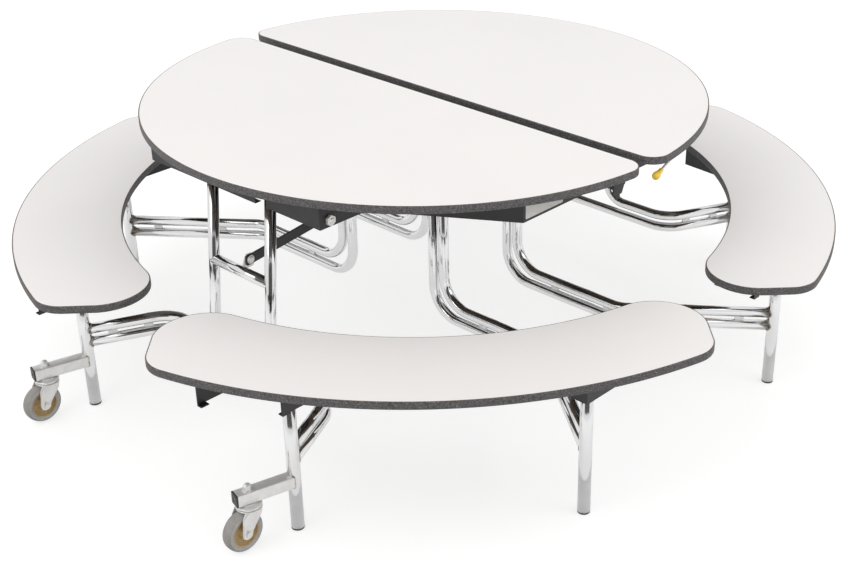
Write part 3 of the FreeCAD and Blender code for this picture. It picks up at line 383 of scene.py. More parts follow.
def rim():
    """The thin brown core that shows between laminate and edging."""
    shader = Shader("rim_line")
    base = tuple(colours().rim)
    grain = shader.noise(240.0, 4.0, 0.7)
    return shader.finish(base_color=shader.mix(grain, shaded(base, 0.6), shaded(base, 1.5)),
                         roughness=0.55 + grain * 0.15,
                         normal=shader.bump(grain, 0.2, 0.0002))


def chrome():
    """Bright plating with a trace of haze and fine lengthwise polish."""
    shader = Shader("chrome_tube")
    base = tuple(colours().chrome)
    haze = shader.noise(14.0, 4.0, 0.6)
    fine = shader.noise(420.0, 2.0)
    tone = shader.mix(shader.steps(haze, 0.35, 0.75) * 0.4, base, shaded(base, 0.86))
    return shader.finish(base_color=tone, metallic=1.0,
                         roughness=0.05 + haze * 0.10 + fine * 0.03,
                         normal=shader.bump(fine, 0.04, 0.0001))


def zinc():
    """Zinc plating: mottled, softly bright, with darker handling marks."""
    shader = Shader("zinc_plate")
    base = tuple(colours().zinc)
    spangle = shader.cells(260.0)
    stain = shader.steps(shader.noise(45.0, 4.0, 0.65), 0.42, 0.78)
    tone = shader.mix(spangle * 0.3, base, shaded(base, 1.2))
    tone = shader.mix(stain * 0.35, tone, shaded(base, 0.7))
    return shader.finish(base_color=tone, metallic=0.5,
                         roughness=0.30 + spangle * 0.06 + stain * 0.12,
                         normal=shader.bump(shader.noise(700.0, 2.0), 0.12, 0.0002))


def black_steel():
    """Black powder coat with its orange-peel skin and a little dust."""
    shader = Shader("black_powder_coat")
    base = tuple(colours().steel)
    peel = shader.noise(850.0, 2.0, 0.4)
    dust = shader.steps(shader.noise(18.0, 5.0, 0.7), 0.48, 0.8)
    return shader.finish(base_color=shader.mix(dust * 0.30, base, shaded(base, 2.6)),
                         roughness=0.34 + dust * 0.25 + peel * 0.08,
                         normal=shader.bump(peel, 0.30, 0.0004))


def plastic():
    """Matt black moulded plastic."""
    shader = Shader("black_plastic")
    base = tuple(colours().plastic)
    grain = shader.noise(1100.0, 2.0)
    scuff = shader.steps(shader.noise(70.0, 4.0, 0.7), 0.52, 0.8)
    return shader.finish(base_color=shader.mix(scuff * 0.5, base, shaded(base, 2.4)),
                         roughness=0.46 + scuff * 0.2,
                         normal=shader.bump(grain, 0.2, 0.0002))


def rubber(name, base):
    """Tyre rubber, dulled by dust."""
    shader = Shader(name)
    dust = shader.steps(shader.noise(60.0, 5.0, 0.7), 0.35, 0.8)
    grain = shader.noise(900.0, 2.0)
    return shader.finish(base_color=shader.mix(dust * 0.7, shaded(base, 0.82), shaded(base, 1.3)),
                         roughness=0.58 + dust * 0.2,
                         normal=shader.bump(grain, 0.25, 0.0003))


def hub():
    """Tan moulded wheel centre."""
    shader = Shader("wheel_hub")
    base = tuple(colours().hub)
    tone = shader.noise(90.0, 4.0, 0.6)
    return shader.finish(base_color=shader.mix(tone, shaded(base, 0.65), shaded(base, 1.3)),
                         roughness=0.42 + tone * 0.15,
                         normal=shader.bump(shader.noise(800.0, 2.0), 0.15, 0.0002))


def vinyl():
    """Soft yellow dipped vinyl."""
    shader = Shader("yellow_vinyl")
    base = tuple(colours().knob)
    tone = shader.noise(110.0, 3.0)
    return shader.finish(base_color=shader.mix(tone, shaded(base, 0.88), shaded(base, 1.08)),
                         roughness=0.34 + tone * 0.12, coat_weight=0.15,
                         normal=shader.bump(shader.noise(600.0, 2.0), 0.12, 0.0003))


def weld():
    """A weld bead: bright ripples with brown heat tint."""
    shader = Shader("weld_bead")
    tint = shader.steps(shader.noise(160.0, 3.0, 0.7), 0.38, 0.66)
    ripple = shader.noise(650.0, 2.0)
    tone = shader.mix(tint, (0.62, 0.60, 0.57), (0.30, 0.22, 0.15))
    return shader.finish(base_color=tone, metallic=0.85, roughness=0.34 + ripple * 0.3,
                         normal=shader.bump(ripple, 0.6, 0.0006))


def bare_plate():
    """A bare pale plate, slightly marked by handling."""
    shader = Shader("bare_plate")
    base = tuple(colours().plate)
    mark = shader.steps(shader.noise(55.0, 4.0, 0.6), 0.4, 0.8)
    return shader.finish(base_color=shader.mix(mark * 0.5, base, shaded(base, 0.86)),
                         roughness=0.38 + mark * 0.15,
                         normal=shader.bump(shader.noise(700.0, 2.0), 0.1, 0.0002))


def finishes():
    """The materials by name, made once."""
    makers = {"laminate": laminate, "board_backer": backer, "speckled_edging": edging,
              "rim_line": rim, "chrome_tube": chrome, "zinc_plate": zinc,
              "black_powder_coat": black_steel, "black_plastic": plastic, "wheel_hub": hub,
              "yellow_vinyl": vinyl, "weld_bead": weld, "bare_plate": bare_plate,
              "tyre_wall": lambda: rubber("tyre_wall", tuple(colours().tyre)),
              "tyre_tread": lambda: rubber("tyre_tread", tuple(colours().tread))}
    for name, maker in makers.items():
        if OWN_FINISH + name not in bpy.data.materials:
            maker()


def finish(name):
    return bpy.data.materials[OWN_FINISH + name]


# ---------------------------------------------------------------- solid forms

def arc(centre, radius, start, end, steps):
    """Points of a flat arc, without its last point."""
    points = []
    for step in range(steps):
        angle = math.radians(start + (end - start) * step / steps)
        points.append((centre[0] + radius * math.cos(angle),
                       centre[1] + radius * math.sin(angle)))
    return points


def rounded_square(half, radius, steps=4):
    """The outline of a square tube, anticlockwise."""
    reach = half - radius
    outline = []
    for index, (x, y) in enumerate(((1, 1), (-1, 1), (-1, -1), (1, -1))):
        outline += arc((x * reach, y * reach), radius, 90.0 * index, 90.0 * (index + 1), steps)
        outline.append((x * reach + radius * math.cos(math.radians(90.0 * (index + 1))),
                        y * reach + radius * math.sin(math.radians(90.0 * (index + 1)))))
    return outline


def facing(direction, at):
    """A place whose own Z runs along a direction."""
    turn = Vector(direction).to_track_quat("Z", "Y").to_matrix().to_4x4()
    return Matrix.Translation(Vector(at)) @ turn


class Form:
    """A mesh in the making, in millimetres in the fold frame."""

    def __init__(self):
        self.mesh = bmesh.new()

    def face(self, corners, material=0):
        try:
            self.mesh.faces.new(corners).material_index = material
        except ValueError:
            pass

    def loft(self, rings, ring_closed=False, materials=(), ends=(0, 0), caps=True):
        """Joins equal rings of points; materials has one entry for each band."""
        rows = [[self.mesh.verts.new(Vector(point)) for point in ring] for ring in rings]
        bands = list(zip(rows, rows[1:]))
        if ring_closed:
            bands.append((rows[-1], rows[0]))
        for number, (low, high) in enumerate(bands):
            material = materials[number] if number < len(materials) else 0
            for index in range(len(low)):
                after = (index + 1) % len(low)
                self.face((low[index], low[after], high[after], high[index]), material)
        if caps and not ring_closed:
            self.face(rows[0][::-1], ends[0])
            self.face(rows[-1], ends[1])
        return self

    def lathe(self, profile, place, sides=40, **options):
        """Turns (radius, height) points about the Z axis of a place."""
        rings = []
        for radius, height in profile:
            rings.append([place @ Vector((x, y, height)) for x, y in
                          arc((0.0, 0.0), max(radius, 0.01), 0.0, 360.0, sides)])
        return self.loft(rings, **options)

    def prism(self, outline, rise, edge=0.0):
        """Extrudes an outline of 3-D points, with a small chamfer round both faces."""
        rise = Vector(rise)
        base = [Vector(point) for point in outline]
        if edge == 0.0:
            return self.loft([base, [point + rise for point in base]])
        inner = drawn_in(base, rise.normalized(), edge)
        lift = rise.normalized() * edge
        return self.loft([inner, [p + lift for p in base], [p + rise - lift for p in base],
                          [p + rise for p in inner]])

    def add(self, data):
        self.mesh.from_mesh(data)
        bpy.data.meshes.remove(data)
        return self

    def placed(self, place):
        self.mesh.transform(place)
        return self

    def copied(self, places):
        """Keeps the form once for each place."""
        drawn = bpy.data.meshes.new("drawn")
        self.mesh.to_mesh(drawn)
        self.mesh.clear()
        for place in places:
            copy = drawn.copy()
            copy.transform(place)
            self.add(copy)
        bpy.data.meshes.remove(drawn)
        return self


def drawn_in(outline, normal, amount):
    """Moves each corner of a flat outline inward."""
    moved = []
    centre = sum(outline, Vector()) / len(outline)
    for index, point in enumerate(outline):
        before = (point - outline[index - 1]).normalized()
        after = (outline[(index + 1) % len(outline)] - point).normalized()
        inward = normal.cross(before + after).normalized()
        if inward.dot(centre - point) < 0.0:
            inward.negate()
        moved.append(point + inward * amount)
    return moved


def piece(name, form, body, materials, replaces=(), place=AS_DRAWN, smooth=35.0, wall=0.0):
    """Turns a form into a finished object that rides on a body."""
    mesh = form.mesh
    mesh.transform(FOLD @ place)
    bmesh.ops.remove_doubles(mesh, verts=mesh.verts, dist=MERGE)
    bmesh.ops.recalc_face_normals(mesh, faces=mesh.faces)
    large = [face for face in mesh.faces if len(face.verts) > 4]
    bmesh.ops.triangulate(mesh, faces=large)
    data = bpy.data.meshes.new(name)
    mesh.to_mesh(data)
    mesh.free()
    for material in materials:
        data.materials.append(finish(material))
    data.shade_smooth()
    data.set_sharp_from_angle(angle=math.radians(smooth))
    built = bpy.data.objects.new(name, data)
    bpy.context.scene.collection.objects.link(built)
    if wall:
        shell = built.modifiers.new("wall", "SOLIDIFY")
        shell.thickness = wall * MM
        shell.offset = -1.0
    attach(built, body)
    if replaces:
        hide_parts(*replaces)
    return built


# ---------------------------------------------------------------- node groups

class Tree:
    """A geometry node group with named inputs, built from left to right."""

    def __init__(self, name, inputs):
        self.group = bpy.data.node_groups.new(name, "GeometryNodeTree")
        face = self.group.interface
        face.new_socket("Geometry", in_out="INPUT", socket_type="NodeSocketGeometry")
        for label, kind in inputs:
            face.new_socket(label, in_out="INPUT", socket_type="NodeSocket" + kind)
        face.new_socket("Geometry", in_out="OUTPUT", socket_type="NodeSocketGeometry")
        self.start = self.group.nodes.new("NodeGroupInput")

    def node(self, kind, settings, inputs, output=0):
        node = self.group.nodes.new(kind)
        for name, value in settings.items():
            setattr(node, name, value)
        for name, value in inputs.items():
            if isinstance(value, bpy.types.NodeSocket):
                self.group.links.new(value, node.inputs[name])
            else:
                node.inputs[name].default_value = value
        return node.outputs[output]

    def attribute(self, name, kind):
        return self.node("GeometryNodeInputNamedAttribute", {"data_type": kind}, {"Name": name})

    def end(self, geometry):
        whole = self.node("GeometryNodeRealizeInstances", {}, {"Geometry": geometry})
        dressed = self.node("GeometryNodeSetMaterial", {}, {
            "Geometry": whole, "Material": self.start.outputs["Material"]})
        output = self.group.nodes.new("NodeGroupOutput")
        self.group.links.new(dressed, output.inputs[0])
        return self.group


def tube_tree():
    """Sweeps a round section along paths, with an arc of its own radius at each corner."""
    tree = Tree("bent_tube", (("Radius", "Float"), ("Sides", "Int"), ("Bend steps", "Int"),
                              ("Material", "Material")))
    inputs = tree.start.outputs
    path = tree.node("GeometryNodeMeshToCurve", {}, {"Mesh": inputs["Geometry"]})
    bent = tree.node("GeometryNodeFilletCurve", {"mode": "POLY"}, {
        "Curve": path, "Count": inputs["Bend steps"], "Radius": tree.attribute("bend", "FLOAT")})
    section = tree.node("GeometryNodeCurvePrimitiveCircle", {}, {
        "Resolution": inputs["Sides"], "Radius": inputs["Radius"]})
    tube = tree.node("GeometryNodeCurveToMesh", {}, {"Curve": bent, "Profile Curve": section})
    return tree.end(tube)


def bead_tree():
    """Sweeps an uneven round section along closed weld paths."""
    tree = Tree("weld_bead", (("Radius", "Float"), ("Unevenness", "Float"), ("Seed", "Float"),
                              ("Material", "Material")))
    inputs = tree.start.outputs
    path = tree.node("GeometryNodeMeshToCurve", {}, {"Mesh": inputs["Geometry"]})
    rough = tree.node("ShaderNodeTexNoise", {"noise_dimensions": "4D"}, {
        "W": inputs["Seed"], "Scale": 0.32, "Detail": 2.0})
    swing = tree.node("ShaderNodeMath", {"operation": "SUBTRACT"}, {0: rough, 1: 0.5})
    share = tree.node("ShaderNodeMath", {"operation": "MULTIPLY_ADD"}, {
        0: swing, 1: inputs["Unevenness"], 2: 1.0})
    sized = tree.node("GeometryNodeSetCurveRadius", {}, {"Curve": path, "Radius": share})
    section = tree.node("GeometryNodeCurvePrimitiveCircle", {}, {
        "Resolution": 8, "Radius": inputs["Radius"]})
    bead = tree.node("GeometryNodeCurveToMesh", {}, {"Curve": sized, "Profile Curve": section,
                     "Scale": share, "Fill Caps": True})
    return tree.end(bead)


def bolt_tree():
    """Sets a bolt head on each point, along its axis and at its own size."""
    tree = Tree("bolt_heads", (("Head", "Object"), ("Material", "Material")))
    inputs = tree.start.outputs
    head = tree.node("GeometryNodeObjectInfo", {}, {"Object": inputs["Head"]}, "Geometry")
    turn = tree.node("FunctionNodeAlignRotationToVector", {"axis": "Z"}, {
        "Vector": tree.attribute("axis", "FLOAT_VECTOR")})
    heads = tree.node("GeometryNodeInstanceOnPoints", {}, {
        "Points": inputs["Geometry"], "Instance": head, "Rotation": turn,
        "Scale": tree.attribute("size", "FLOAT_VECTOR")})
    return tree.end(heads)


TREES = {"bent_tube": tube_tree, "weld_bead": bead_tree, "bolt_heads": bolt_tree}


def grown(name, data, inputs):
    """The plain mesh that a node group makes from a mesh."""
    group = bpy.data.node_groups.get(name) or TREES[name]()
    source = bpy.data.objects.new(name, data)
    bpy.context.scene.collection.objects.link(source)
    modifier = source.modifiers.new(name, "NODES")
    modifier.node_group = group
    for item in group.interface.items_tree:
        if item.item_type == "SOCKET" and item.in_out == "INPUT" and item.name in inputs:
            modifier[item.identifier] = inputs[item.name]
    evaluated = source.evaluated_get(bpy.context.evaluated_depsgraph_get())
    result = bpy.data.meshes.new_from_object(evaluated)
    source.modifiers.remove(modifier)
    bpy.data.objects.remove(source)
    bpy.data.meshes.remove(data)
    if not result.polygons:
        raise RuntimeError("the node group " + name + " made nothing")
    return result


def path_mesh(paths, closed=False):
    """A mesh of edges along paths; each path is a list of (point, bend radius)."""
    points, edges, bends = [], [], []
    for path in paths:
        first = len(points)
        points += [tuple(point) for point, bend in path]
        bends += [bend for point, bend in path]
        edges += [(first + index, first + index + 1) for index in range(len(path) - 1)]
        if closed:
            edges.append((len(points) - 1, first))
    data = bpy.data.meshes.new("path")
    data.from_pydata(points, edges, [])
    data.attributes.new("bend", "FLOAT", "POINT").data.foreach_set("value", bends)
    return data


def tubes(paths, radius, material="chrome_tube"):
    size = sizes()
    return grown("bent_tube", path_mesh(paths), {
        "Radius": radius, "Sides": size.tube_sides, "Bend steps": size.bend_steps,
        "Material": finish(material)})


def beads(loops, seed):
    paths = [[(point, 0.0) for point in loop] for loop in loops]
    return grown("weld_bead", path_mesh(paths, True), {
        "Radius": sizes().bead_radius / MM, "Unevenness": BEAD_UNEVENNESS, "Seed": seed,
        "Material": finish("weld_bead")})


def hex_head():
    """A chamfered hexagon head of unit width and unit height."""
    form = Form()
    rings = [[], [], [], []]
    for index in range(24):
        angle = math.radians(15.0 * index)
        within = (angle % math.radians(60.0)) - math.radians(30.0)
        reach = 0.5 / math.cos(within)
        drop = 0.9 * (reach - 0.475)
        for ring, radius, height in zip(rings, (reach * 0.97, reach, reach, 0.475),
                                        (0.0, 0.05, 1.0 - drop, 1.0)):
            ring.append((radius * math.cos(angle), radius * math.sin(angle), height))
    form.loft(rings)
    data = bpy.data.meshes.new("hex_head")
    form.mesh.to_mesh(data)
    form.mesh.free()
    return data


def bolt_heads(places):
    """Hexagon heads; each place is a point, an axis, a width and a height."""
    data = bpy.data.meshes.new("bolts")
    data.from_pydata([tuple(point) for point, axis, width, height in places], [], [])
    axes = data.attributes.new("axis", "FLOAT_VECTOR", "POINT")
    scales = data.attributes.new("size", "FLOAT_VECTOR", "POINT")
    for index, (point, axis, width, height) in enumerate(places):
        axes.data[index].vector = axis
        scales.data[index].vector = (width, width, height)
    head = bpy.data.objects.new("hex_head", hex_head())
    bpy.context.scene.collection.objects.link(head)
    result = grown("bolt_heads", data, {"Head": head, "Material": finish("zinc_plate")})
    bpy.data.meshes.remove(head.data)
    return result


# ---------------------------------------------------------------- boards

def top_outline(inset):
    """Half of the round top, drawn in by inset."""
    steps = sizes().arc_steps
    y = SPLIT_Y - TOP_CORNER
    x = math.sqrt((TOP_RADIUS - TOP_CORNER) ** 2 - y * y)
    lean = math.degrees(math.atan2(y, x))
    radius = TOP_CORNER - inset
    return (arc((0.0, 0.0), TOP_RADIUS - inset, -180.0 - lean, lean, steps)
            + arc((x, y), radius, lean, 90.0, 14) + arc((-x, y), radius, 90.0, 180.0 - lean, 14))


def bench_outline(inset):
    """A bench board beyond the -Y side of the top, drawn in by inset."""
    steps = sizes().arc_steps // 2
    outer_x = BENCH_HALF - BENCH_OUTER_CORNER
    outer_y = BENCH_OUTER_CENTRE - math.sqrt((BENCH_OUTER_ARC - BENCH_OUTER_CORNER) ** 2
                                             - outer_x ** 2)
    inner_x = BENCH_HALF - BENCH_INNER_CORNER
    inner_y = BENCH_INNER_CENTRE - math.sqrt((BENCH_INNER_ARC + BENCH_INNER_CORNER) ** 2
                                             - inner_x ** 2)
    low = math.degrees(math.atan2(outer_y - BENCH_OUTER_CENTRE, outer_x))
    high = math.degrees(math.atan2(inner_y - BENCH_INNER_CENTRE, inner_x))
    outer = BENCH_OUTER_CORNER - inset
    inner = BENCH_INNER_CORNER - inset
    return (arc((0.0, BENCH_OUTER_CENTRE), BENCH_OUTER_ARC - inset, -180.0 - low, low, steps)
            + arc((outer_x, outer_y), outer, low, 0.0, 12)
            + arc((inner_x, inner_y), inner, 0.0, 180.0 + high, 18)
            + arc((0.0, BENCH_INNER_CENTRE), BENCH_INNER_ARC + inset, high, -180.0 - high, steps)
            + arc((-inner_x, inner_y), inner, -high, 180.0, 18)
            + arc((-outer_x, outer_y), outer, 180.0, 180.0 - low, 12))


def at_height(outline, height):
    return [(x, y, height) for x, y in outline]


def board_form(outline, low, high):
    """Laminate above, its dark core on the rim and the backing sheet below."""
    levels = ((EDGING + 0.3, high), (EDGING, high - 0.3), (EDGING, low + 0.3), (EDGING + 0.3, low))
    rings = [at_height(outline(inset), height) for inset, height in levels]
    return Form().loft(rings, materials=(0, 1, 2), ends=(0, 2))


def edging_form(outline, low, high):
    """The moulded edge, rounded above and below, with the brown line inside its top."""
    line = EDGING - sizes().rim_line / MM
    levels = ((EDGING, low + 1.0), (EDGING, high - 0.02), (line, high - 0.02),
              (line - 0.1, high - 0.15), (1.1, high - 0.3), (0.45, high - 0.8), (0.1, high - 1.7),
              (0.0, high - 3.2), (0.0, low + 3.2), (0.1, low + 1.7), (0.45, low + 0.8),
              (1.1, low + 0.2), (EDGING, low))
    rings = [at_height(outline(inset), height) for inset, height in levels]
    return Form().loft(rings, ring_closed=True, materials=(0, 1, 1))


def make_boards():
    for side, place in TABLE_PLACES.items():
        body = side + "_table"
        piece(side + "_top_board", board_form(top_outline, TOP_LOW, TOP_HIGH), body,
              ("laminate", "rim_line", "board_backer"), (side + "_top",), place)
        piece(side + "_top_edge", edging_form(top_outline, TOP_LOW, TOP_HIGH), body,
              ("speckled_edging", "rim_line"), (side + "_top_edging",), place)
    for side, place in BENCH_PLACES.items():
        body = side + "_bench"
        turned = place @ BENCH_TURN
        piece(side + "_bench_seat", board_form(bench_outline, BENCH_LOW, BENCH_HIGH), body,
              ("laminate", "rim_line", "board_backer"), (side + "_bench_board",),
              turned)
        piece(side + "_bench_edge", edging_form(bench_outline, BENCH_LOW, BENCH_HIGH), body,
              ("speckled_edging", "rim_line"), (side + "_bench_edging",), turned)


# ---------------------------------------------------------------- tubes

def outer_low_path():
    (right, left), (right_corner, left_corner) = OUTER_LEGS, OUTER_CORNERS
    z = OUTER_RAIL_Z
    return [((right, -LEG_FAR, z), 0.0), ((right_corner, OUTER_RAIL_Y, z), OUTER_BEND),
            ((left_corner, OUTER_RAIL_Y, z), OUTER_BEND), ((left, -LEG_FAR, z), 0.0)]


def outer_post_lean():
    rise = FOLD_Z - OUTER_RAIL_Z - RAIL_PITCH
    return (NEAR_FOLD_Y - OUTER_RAIL_Y) / rise


def post_point(x, height):
    """A point on the axis of an outer post."""
    z = OUTER_RAIL_Z + RAIL_PITCH
    return (x, OUTER_RAIL_Y + outer_post_lean() * (height - z), height)


def outer_high_path(index):
    z = OUTER_RAIL_Z + RAIL_PITCH
    post = OUTER_POST if index == 0 else -OUTER_POST
    return [((OUTER_LEGS[index], -LEG_FAR, z), 0.0),
            ((OUTER_CORNERS[index], OUTER_RAIL_Y, z), OUTER_BEND),
            (post_point(post, z), OUTER_POST_BEND), (post_point(post, POST_TOP), 0.0)]


def middle_path(level):
    """A tube of the middle frame from its leg to the top of its post."""
    z = MIDDLE_RAIL_Z + RAIL_PITCH * level
    post = MIDDLE_POSTS[level]
    return [((LEG_FAR, -LEG_SIDE, z), 0.0), ((MIDDLE_CORNER, MIDDLE_FOLD_Y, z), MIDDLE_BEND),
            ((post, MIDDLE_FOLD_Y, z), MIDDLE_POST_BEND), ((post, MIDDLE_FOLD_Y, POST_TOP), 0.0)]


def leg_path(x, y):
    return [((x, y, LEG_LOW), 0.0), ((x, y, LEG_TOP), 0.0)]


def lug_form():
    """The plate on the cross tube that carries the brace bolt."""
    x, y, z = post_point(-LUG_THICK, CROSS_TUBE_Z)
    outline = ((x, y, z), (x, BRACE_BOLT_Y + LUG_HALF, z + LUG_LIFT),
               (x, BRACE_BOLT_Y + LUG_HALF, BRACE_BOLT_Z + LUG_FLAT),
               (x, BRACE_BOLT_Y + LUG_FLAT, BRACE_BOLT_Z + LUG_HALF),
               (x, BRACE_BOLT_Y - LUG_FLAT, BRACE_BOLT_Z + LUG_HALF),
               (x, BRACE_BOLT_Y - LUG_HALF, BRACE_BOLT_Z + LUG_FLAT))
    return Form().prism(outline, (LUG_THICK, 0.0, 0.0), 0.6)


def make_tubes():
    wall = RAIL_WALL
    for side, place in FRAME_PLACES.items():
        body = side + "_frame"
        rail = Form().add(tubes([outer_low_path()], RAIL_RADIUS))
        piece(side + "_bent_rail", rail, body, ("chrome_tube",),
              (side + "_low_rail",), place, wall=wall)
        cross = [(post_point(x, CROSS_TUBE_Z), 0.0) for x in (OUTER_POST, -OUTER_POST)]
        posts = Form().add(tubes([outer_high_path(0), outer_high_path(1), cross], RAIL_RADIUS))
        piece(side + "_posts", posts, body, ("chrome_tube",),
              (side + "_post_frame",), place, wall=wall)
        piece(side + "_brace_lug", lug_form(), body, ("zinc_plate",), (), place)
        legs = Form().add(tubes([leg_path(x, -LEG_FAR) for x in OUTER_LEGS], LEG_RADIUS))
        piece(side + "_leg_tubes", legs, body, ("chrome_tube",),
              (side + "_legs",), place, wall=LEG_WALL)
    for node, name, level in (("middle_low_tubes", "middle_inner_tubes", 0),
                              ("middle_high_tubes", "middle_outer_tubes", 1)):
        form = Form().add(tubes([middle_path(level)], RAIL_RADIUS)).copied(CORNERS)
        piece(name, form, "middle_frame", ("chrome_tube",), (node,), wall=wall)
    legs = Form().add(tubes([leg_path(LEG_FAR, -LEG_SIDE)], LEG_RADIUS)).copied(CORNERS)
    piece("middle_leg_tubes", legs, "middle_frame", ("chrome_tube",),
          ("middle_legs",), wall=LEG_WALL)


# ---------------------------------------------------------------- welds

def round_bead(leg, rail, height, carrier=LEG_RADIUS, radius=RAIL_RADIUS):
    """Where a level tube meets an upright one; leg is the axis, rail a point along the tube."""
    axis = Vector((leg[0], leg[1], height))
    ahead = (Vector((rail[0], rail[1], height)) - axis).normalized()
    aside = Vector((-ahead.y, ahead.x, 0.0))
    loop = []
    for x, y in arc((0.0, 0.0), radius + 0.4, 0.0, 360.0, 40):
        reach = math.sqrt(max((carrier + 0.4) ** 2 - x * x, 0.0))
        loop.append(axis + ahead * reach + aside * x + Vector((0.0, 0.0, y)))
    return loop


def arm_place(leg_x):
    turn = Matrix.Rotation(math.radians(-ARM_ANGLE), 4, "Z")
    return Matrix.Translation((leg_x, -LEG_FAR, 0.0)) @ turn


def arm_bead(leg_x):
    """Round the end of a square arm, on the leg that carries it."""
    loop = []
    for x, z in rounded_square(ARM_HALF - 0.6, ARM_CORNER, 6):
        reach = math.sqrt(max((LEG_RADIUS + 0.3) ** 2 - x * x, 0.0))
        loop.append(arm_place(leg_x) @ Vector((x, -reach, ARM_Z + z)))
    return loop


def make_welds():
    for number, (side, place) in enumerate(FRAME_PLACES.items()):
        loops = []
        for leg_x, corner_x in zip(OUTER_LEGS, OUTER_CORNERS):
            leg, corner = (leg_x, -LEG_FAR), (corner_x, OUTER_RAIL_Y)
            loops += [round_bead(leg, corner, OUTER_RAIL_Z + RAIL_PITCH * level)
                      for level in (0, 1)]
            loops.append(arm_bead(leg_x))
        piece(side + "_weld_beads", Form().add(beads(loops, 3.0 + number)), side + "_frame",
              ("weld_bead",), (), place, 180.0)
    leg, corner = (LEG_FAR, -LEG_SIDE), (MIDDLE_CORNER, MIDDLE_FOLD_Y)
    loops = [round_bead(leg, corner, MIDDLE_RAIL_Z + RAIL_PITCH * level) for level in (0, 1)]
    piece("middle_weld_beads", Form().add(beads(loops, 9.0)).copied(CORNERS), "middle_frame",
          ("weld_bead",), smooth=180.0)


# ---------------------------------------------------------------- sheet metal

def dress_sheet(node, name, body, material, smooth=30.0, trim=None):
    """A copy of a node of the frame with its fold lines and cut edges rounded."""
    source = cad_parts[node]
    source = source if isinstance(source, bpy.types.Object) else bpy.data.objects[node]
    mesh = bmesh.new()
    mesh.from_mesh(source.data)
    bmesh.ops.remove_doubles(mesh, verts=mesh.verts, dist=MERGE)
    if trim:
        mesh.transform(FOLD.inverted())
        trim(mesh)
        mesh.transform(FOLD)
    bmesh.ops.dissolve_limit(mesh, angle_limit=math.radians(FLAT_ANGLE), verts=mesh.verts,
                             edges=mesh.edges)
    data = bpy.data.meshes.new(name)
    mesh.to_mesh(data)
    mesh.free()
    data.materials.clear()
    data.materials.append(finish(material))
    data.shade_smooth()
    data.set_sharp_from_angle(angle=math.radians(smooth))
    built = bpy.data.objects.new(name, data)
    bpy.context.scene.collection.objects.link(built)
    rounding = built.modifiers.new("rounding", "BEVEL")
    rounding.width = sizes().sheet_bevel
    rounding.segments = 2
    rounding.limit_method = "ANGLE"
    rounding.angle_limit = math.radians(smooth)
    rounding.harden_normals = True
    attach(built, body)
    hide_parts(node)
    return built


def trim_channel(mesh):
    """Draws in the long back corner of the wide channel of a bench by CHANNEL_TRIM."""
    near, far = CHANNEL_BACK_Y
    for vertex in mesh.verts:
        if near < abs(vertex.co.y) < far and abs(vertex.co.x) < CHANNEL_BACK_X:
            vertex.co.y += math.copysign(CHANNEL_TRIM, vertex.co.y)


def trim_end_plate(mesh):
    """Ends the far split channel at SPLIT_END, without its end plate, and closes the cut."""
    whole = mesh.verts[:] + mesh.edges[:] + mesh.faces[:]
    cut = bmesh.ops.bisect_plane(mesh, geom=whole, plane_co=(SPLIT_END, 0.0, 0.0),
                                 plane_no=(1.0, 0.0, 0.0), clear_outer=True)["geom_cut"]
    rim = [item for item in cut if isinstance(item, bmesh.types.BMEdge)]
    bmesh.ops.triangle_fill(mesh, edges=rim, use_beauty=True)


def make_sheet_metal():
    for side in TABLE_PLACES:
        for part, name in (("_side_rails", "_pressed_rails"), ("_hinge_channel", "_hinge_box"),
                           ("_split_beam", "_split_channel"), ("_pivot_bracket", "_pivot_ears")):
            trim = trim_end_plate if (side, part) == ("far", "_split_beam") else None
            dress_sheet(side + part, side + name, side + "_table",
                        "black_powder_coat", trim=trim)
        dress_sheet(side + "_brace", side + "_brace_bar", side + "_brace",
                    "black_powder_coat")
        dress_sheet(side + "_rail_tabs", side + "_weld_tabs", side + "_frame",
                    "zinc_plate")
    dress_sheet("middle_rail_tabs", "middle_weld_tabs", "middle_frame", "zinc_plate")
    dress_sheet("middle_beam", "middle_cross_beam", "middle_frame",
                "black_powder_coat")
    for side in BENCH_PLACES:
        dress_sheet(side + "_bench_channels", side + "_seat_channels", side + "_bench",
                    "black_powder_coat", trim=trim_channel)


# ---------------------------------------------------------------- arms, feet and bolts

def square_rings(half, levels):
    """Rings of a square tube along -Y; each level is an inset and a reach."""
    rings = []
    for inset, reach in levels:
        outline = rounded_square(half - inset, max(ARM_CORNER - inset, 0.6))
        rings.append([(x, -reach, ARM_Z + z) for x, z in outline])
    return rings


def arm_form():
    """The square tube that carries a caster, open at its outer end."""
    levels = ((0.0, 1.0), (0.0, ARM_LENGTH - 0.3), (0.3, ARM_LENGTH), (ARM_WALL, ARM_LENGTH),
              (ARM_WALL, ARM_LENGTH - PLUG_DEPTH))
    return Form().loft(square_rings(ARM_HALF, levels))


def plug_form():
    """The plug in the open end of an arm, with a small round hole in its face."""
    face = ARM_LENGTH + PLUG_CAP
    rings = square_rings(ARM_HALF, ((0.1, ARM_LENGTH), (0.0, ARM_LENGTH + 0.4), (0.0, face - 1.2),
                                    (0.4, face - 0.4), (1.4, face)))
    count = len(rings[0])
    for radius, reach in ((4.4, face), (4.1, face - 0.3), (4.1, face - PLUG_HOLE_DEPTH)):
        circle = arc((0.0, 0.0), radius, 0.0, 360.0, count)
        rings.append([(x, -reach, ARM_Z + z) for x, z in circle])
    return Form().loft(rings)


def rivet_form():
    """The bright end of the rivet in the hole of a plug."""
    place = facing((0.0, -1.0, 0.0), (0.0, -ARM_LENGTH - PLUG_CAP + PLUG_HOLE_DEPTH, ARM_Z))
    return Form().lathe(((2.6, -0.4), (2.6, 0.8), (1.9, 1.4), (0.6, 1.6)), place, 20)


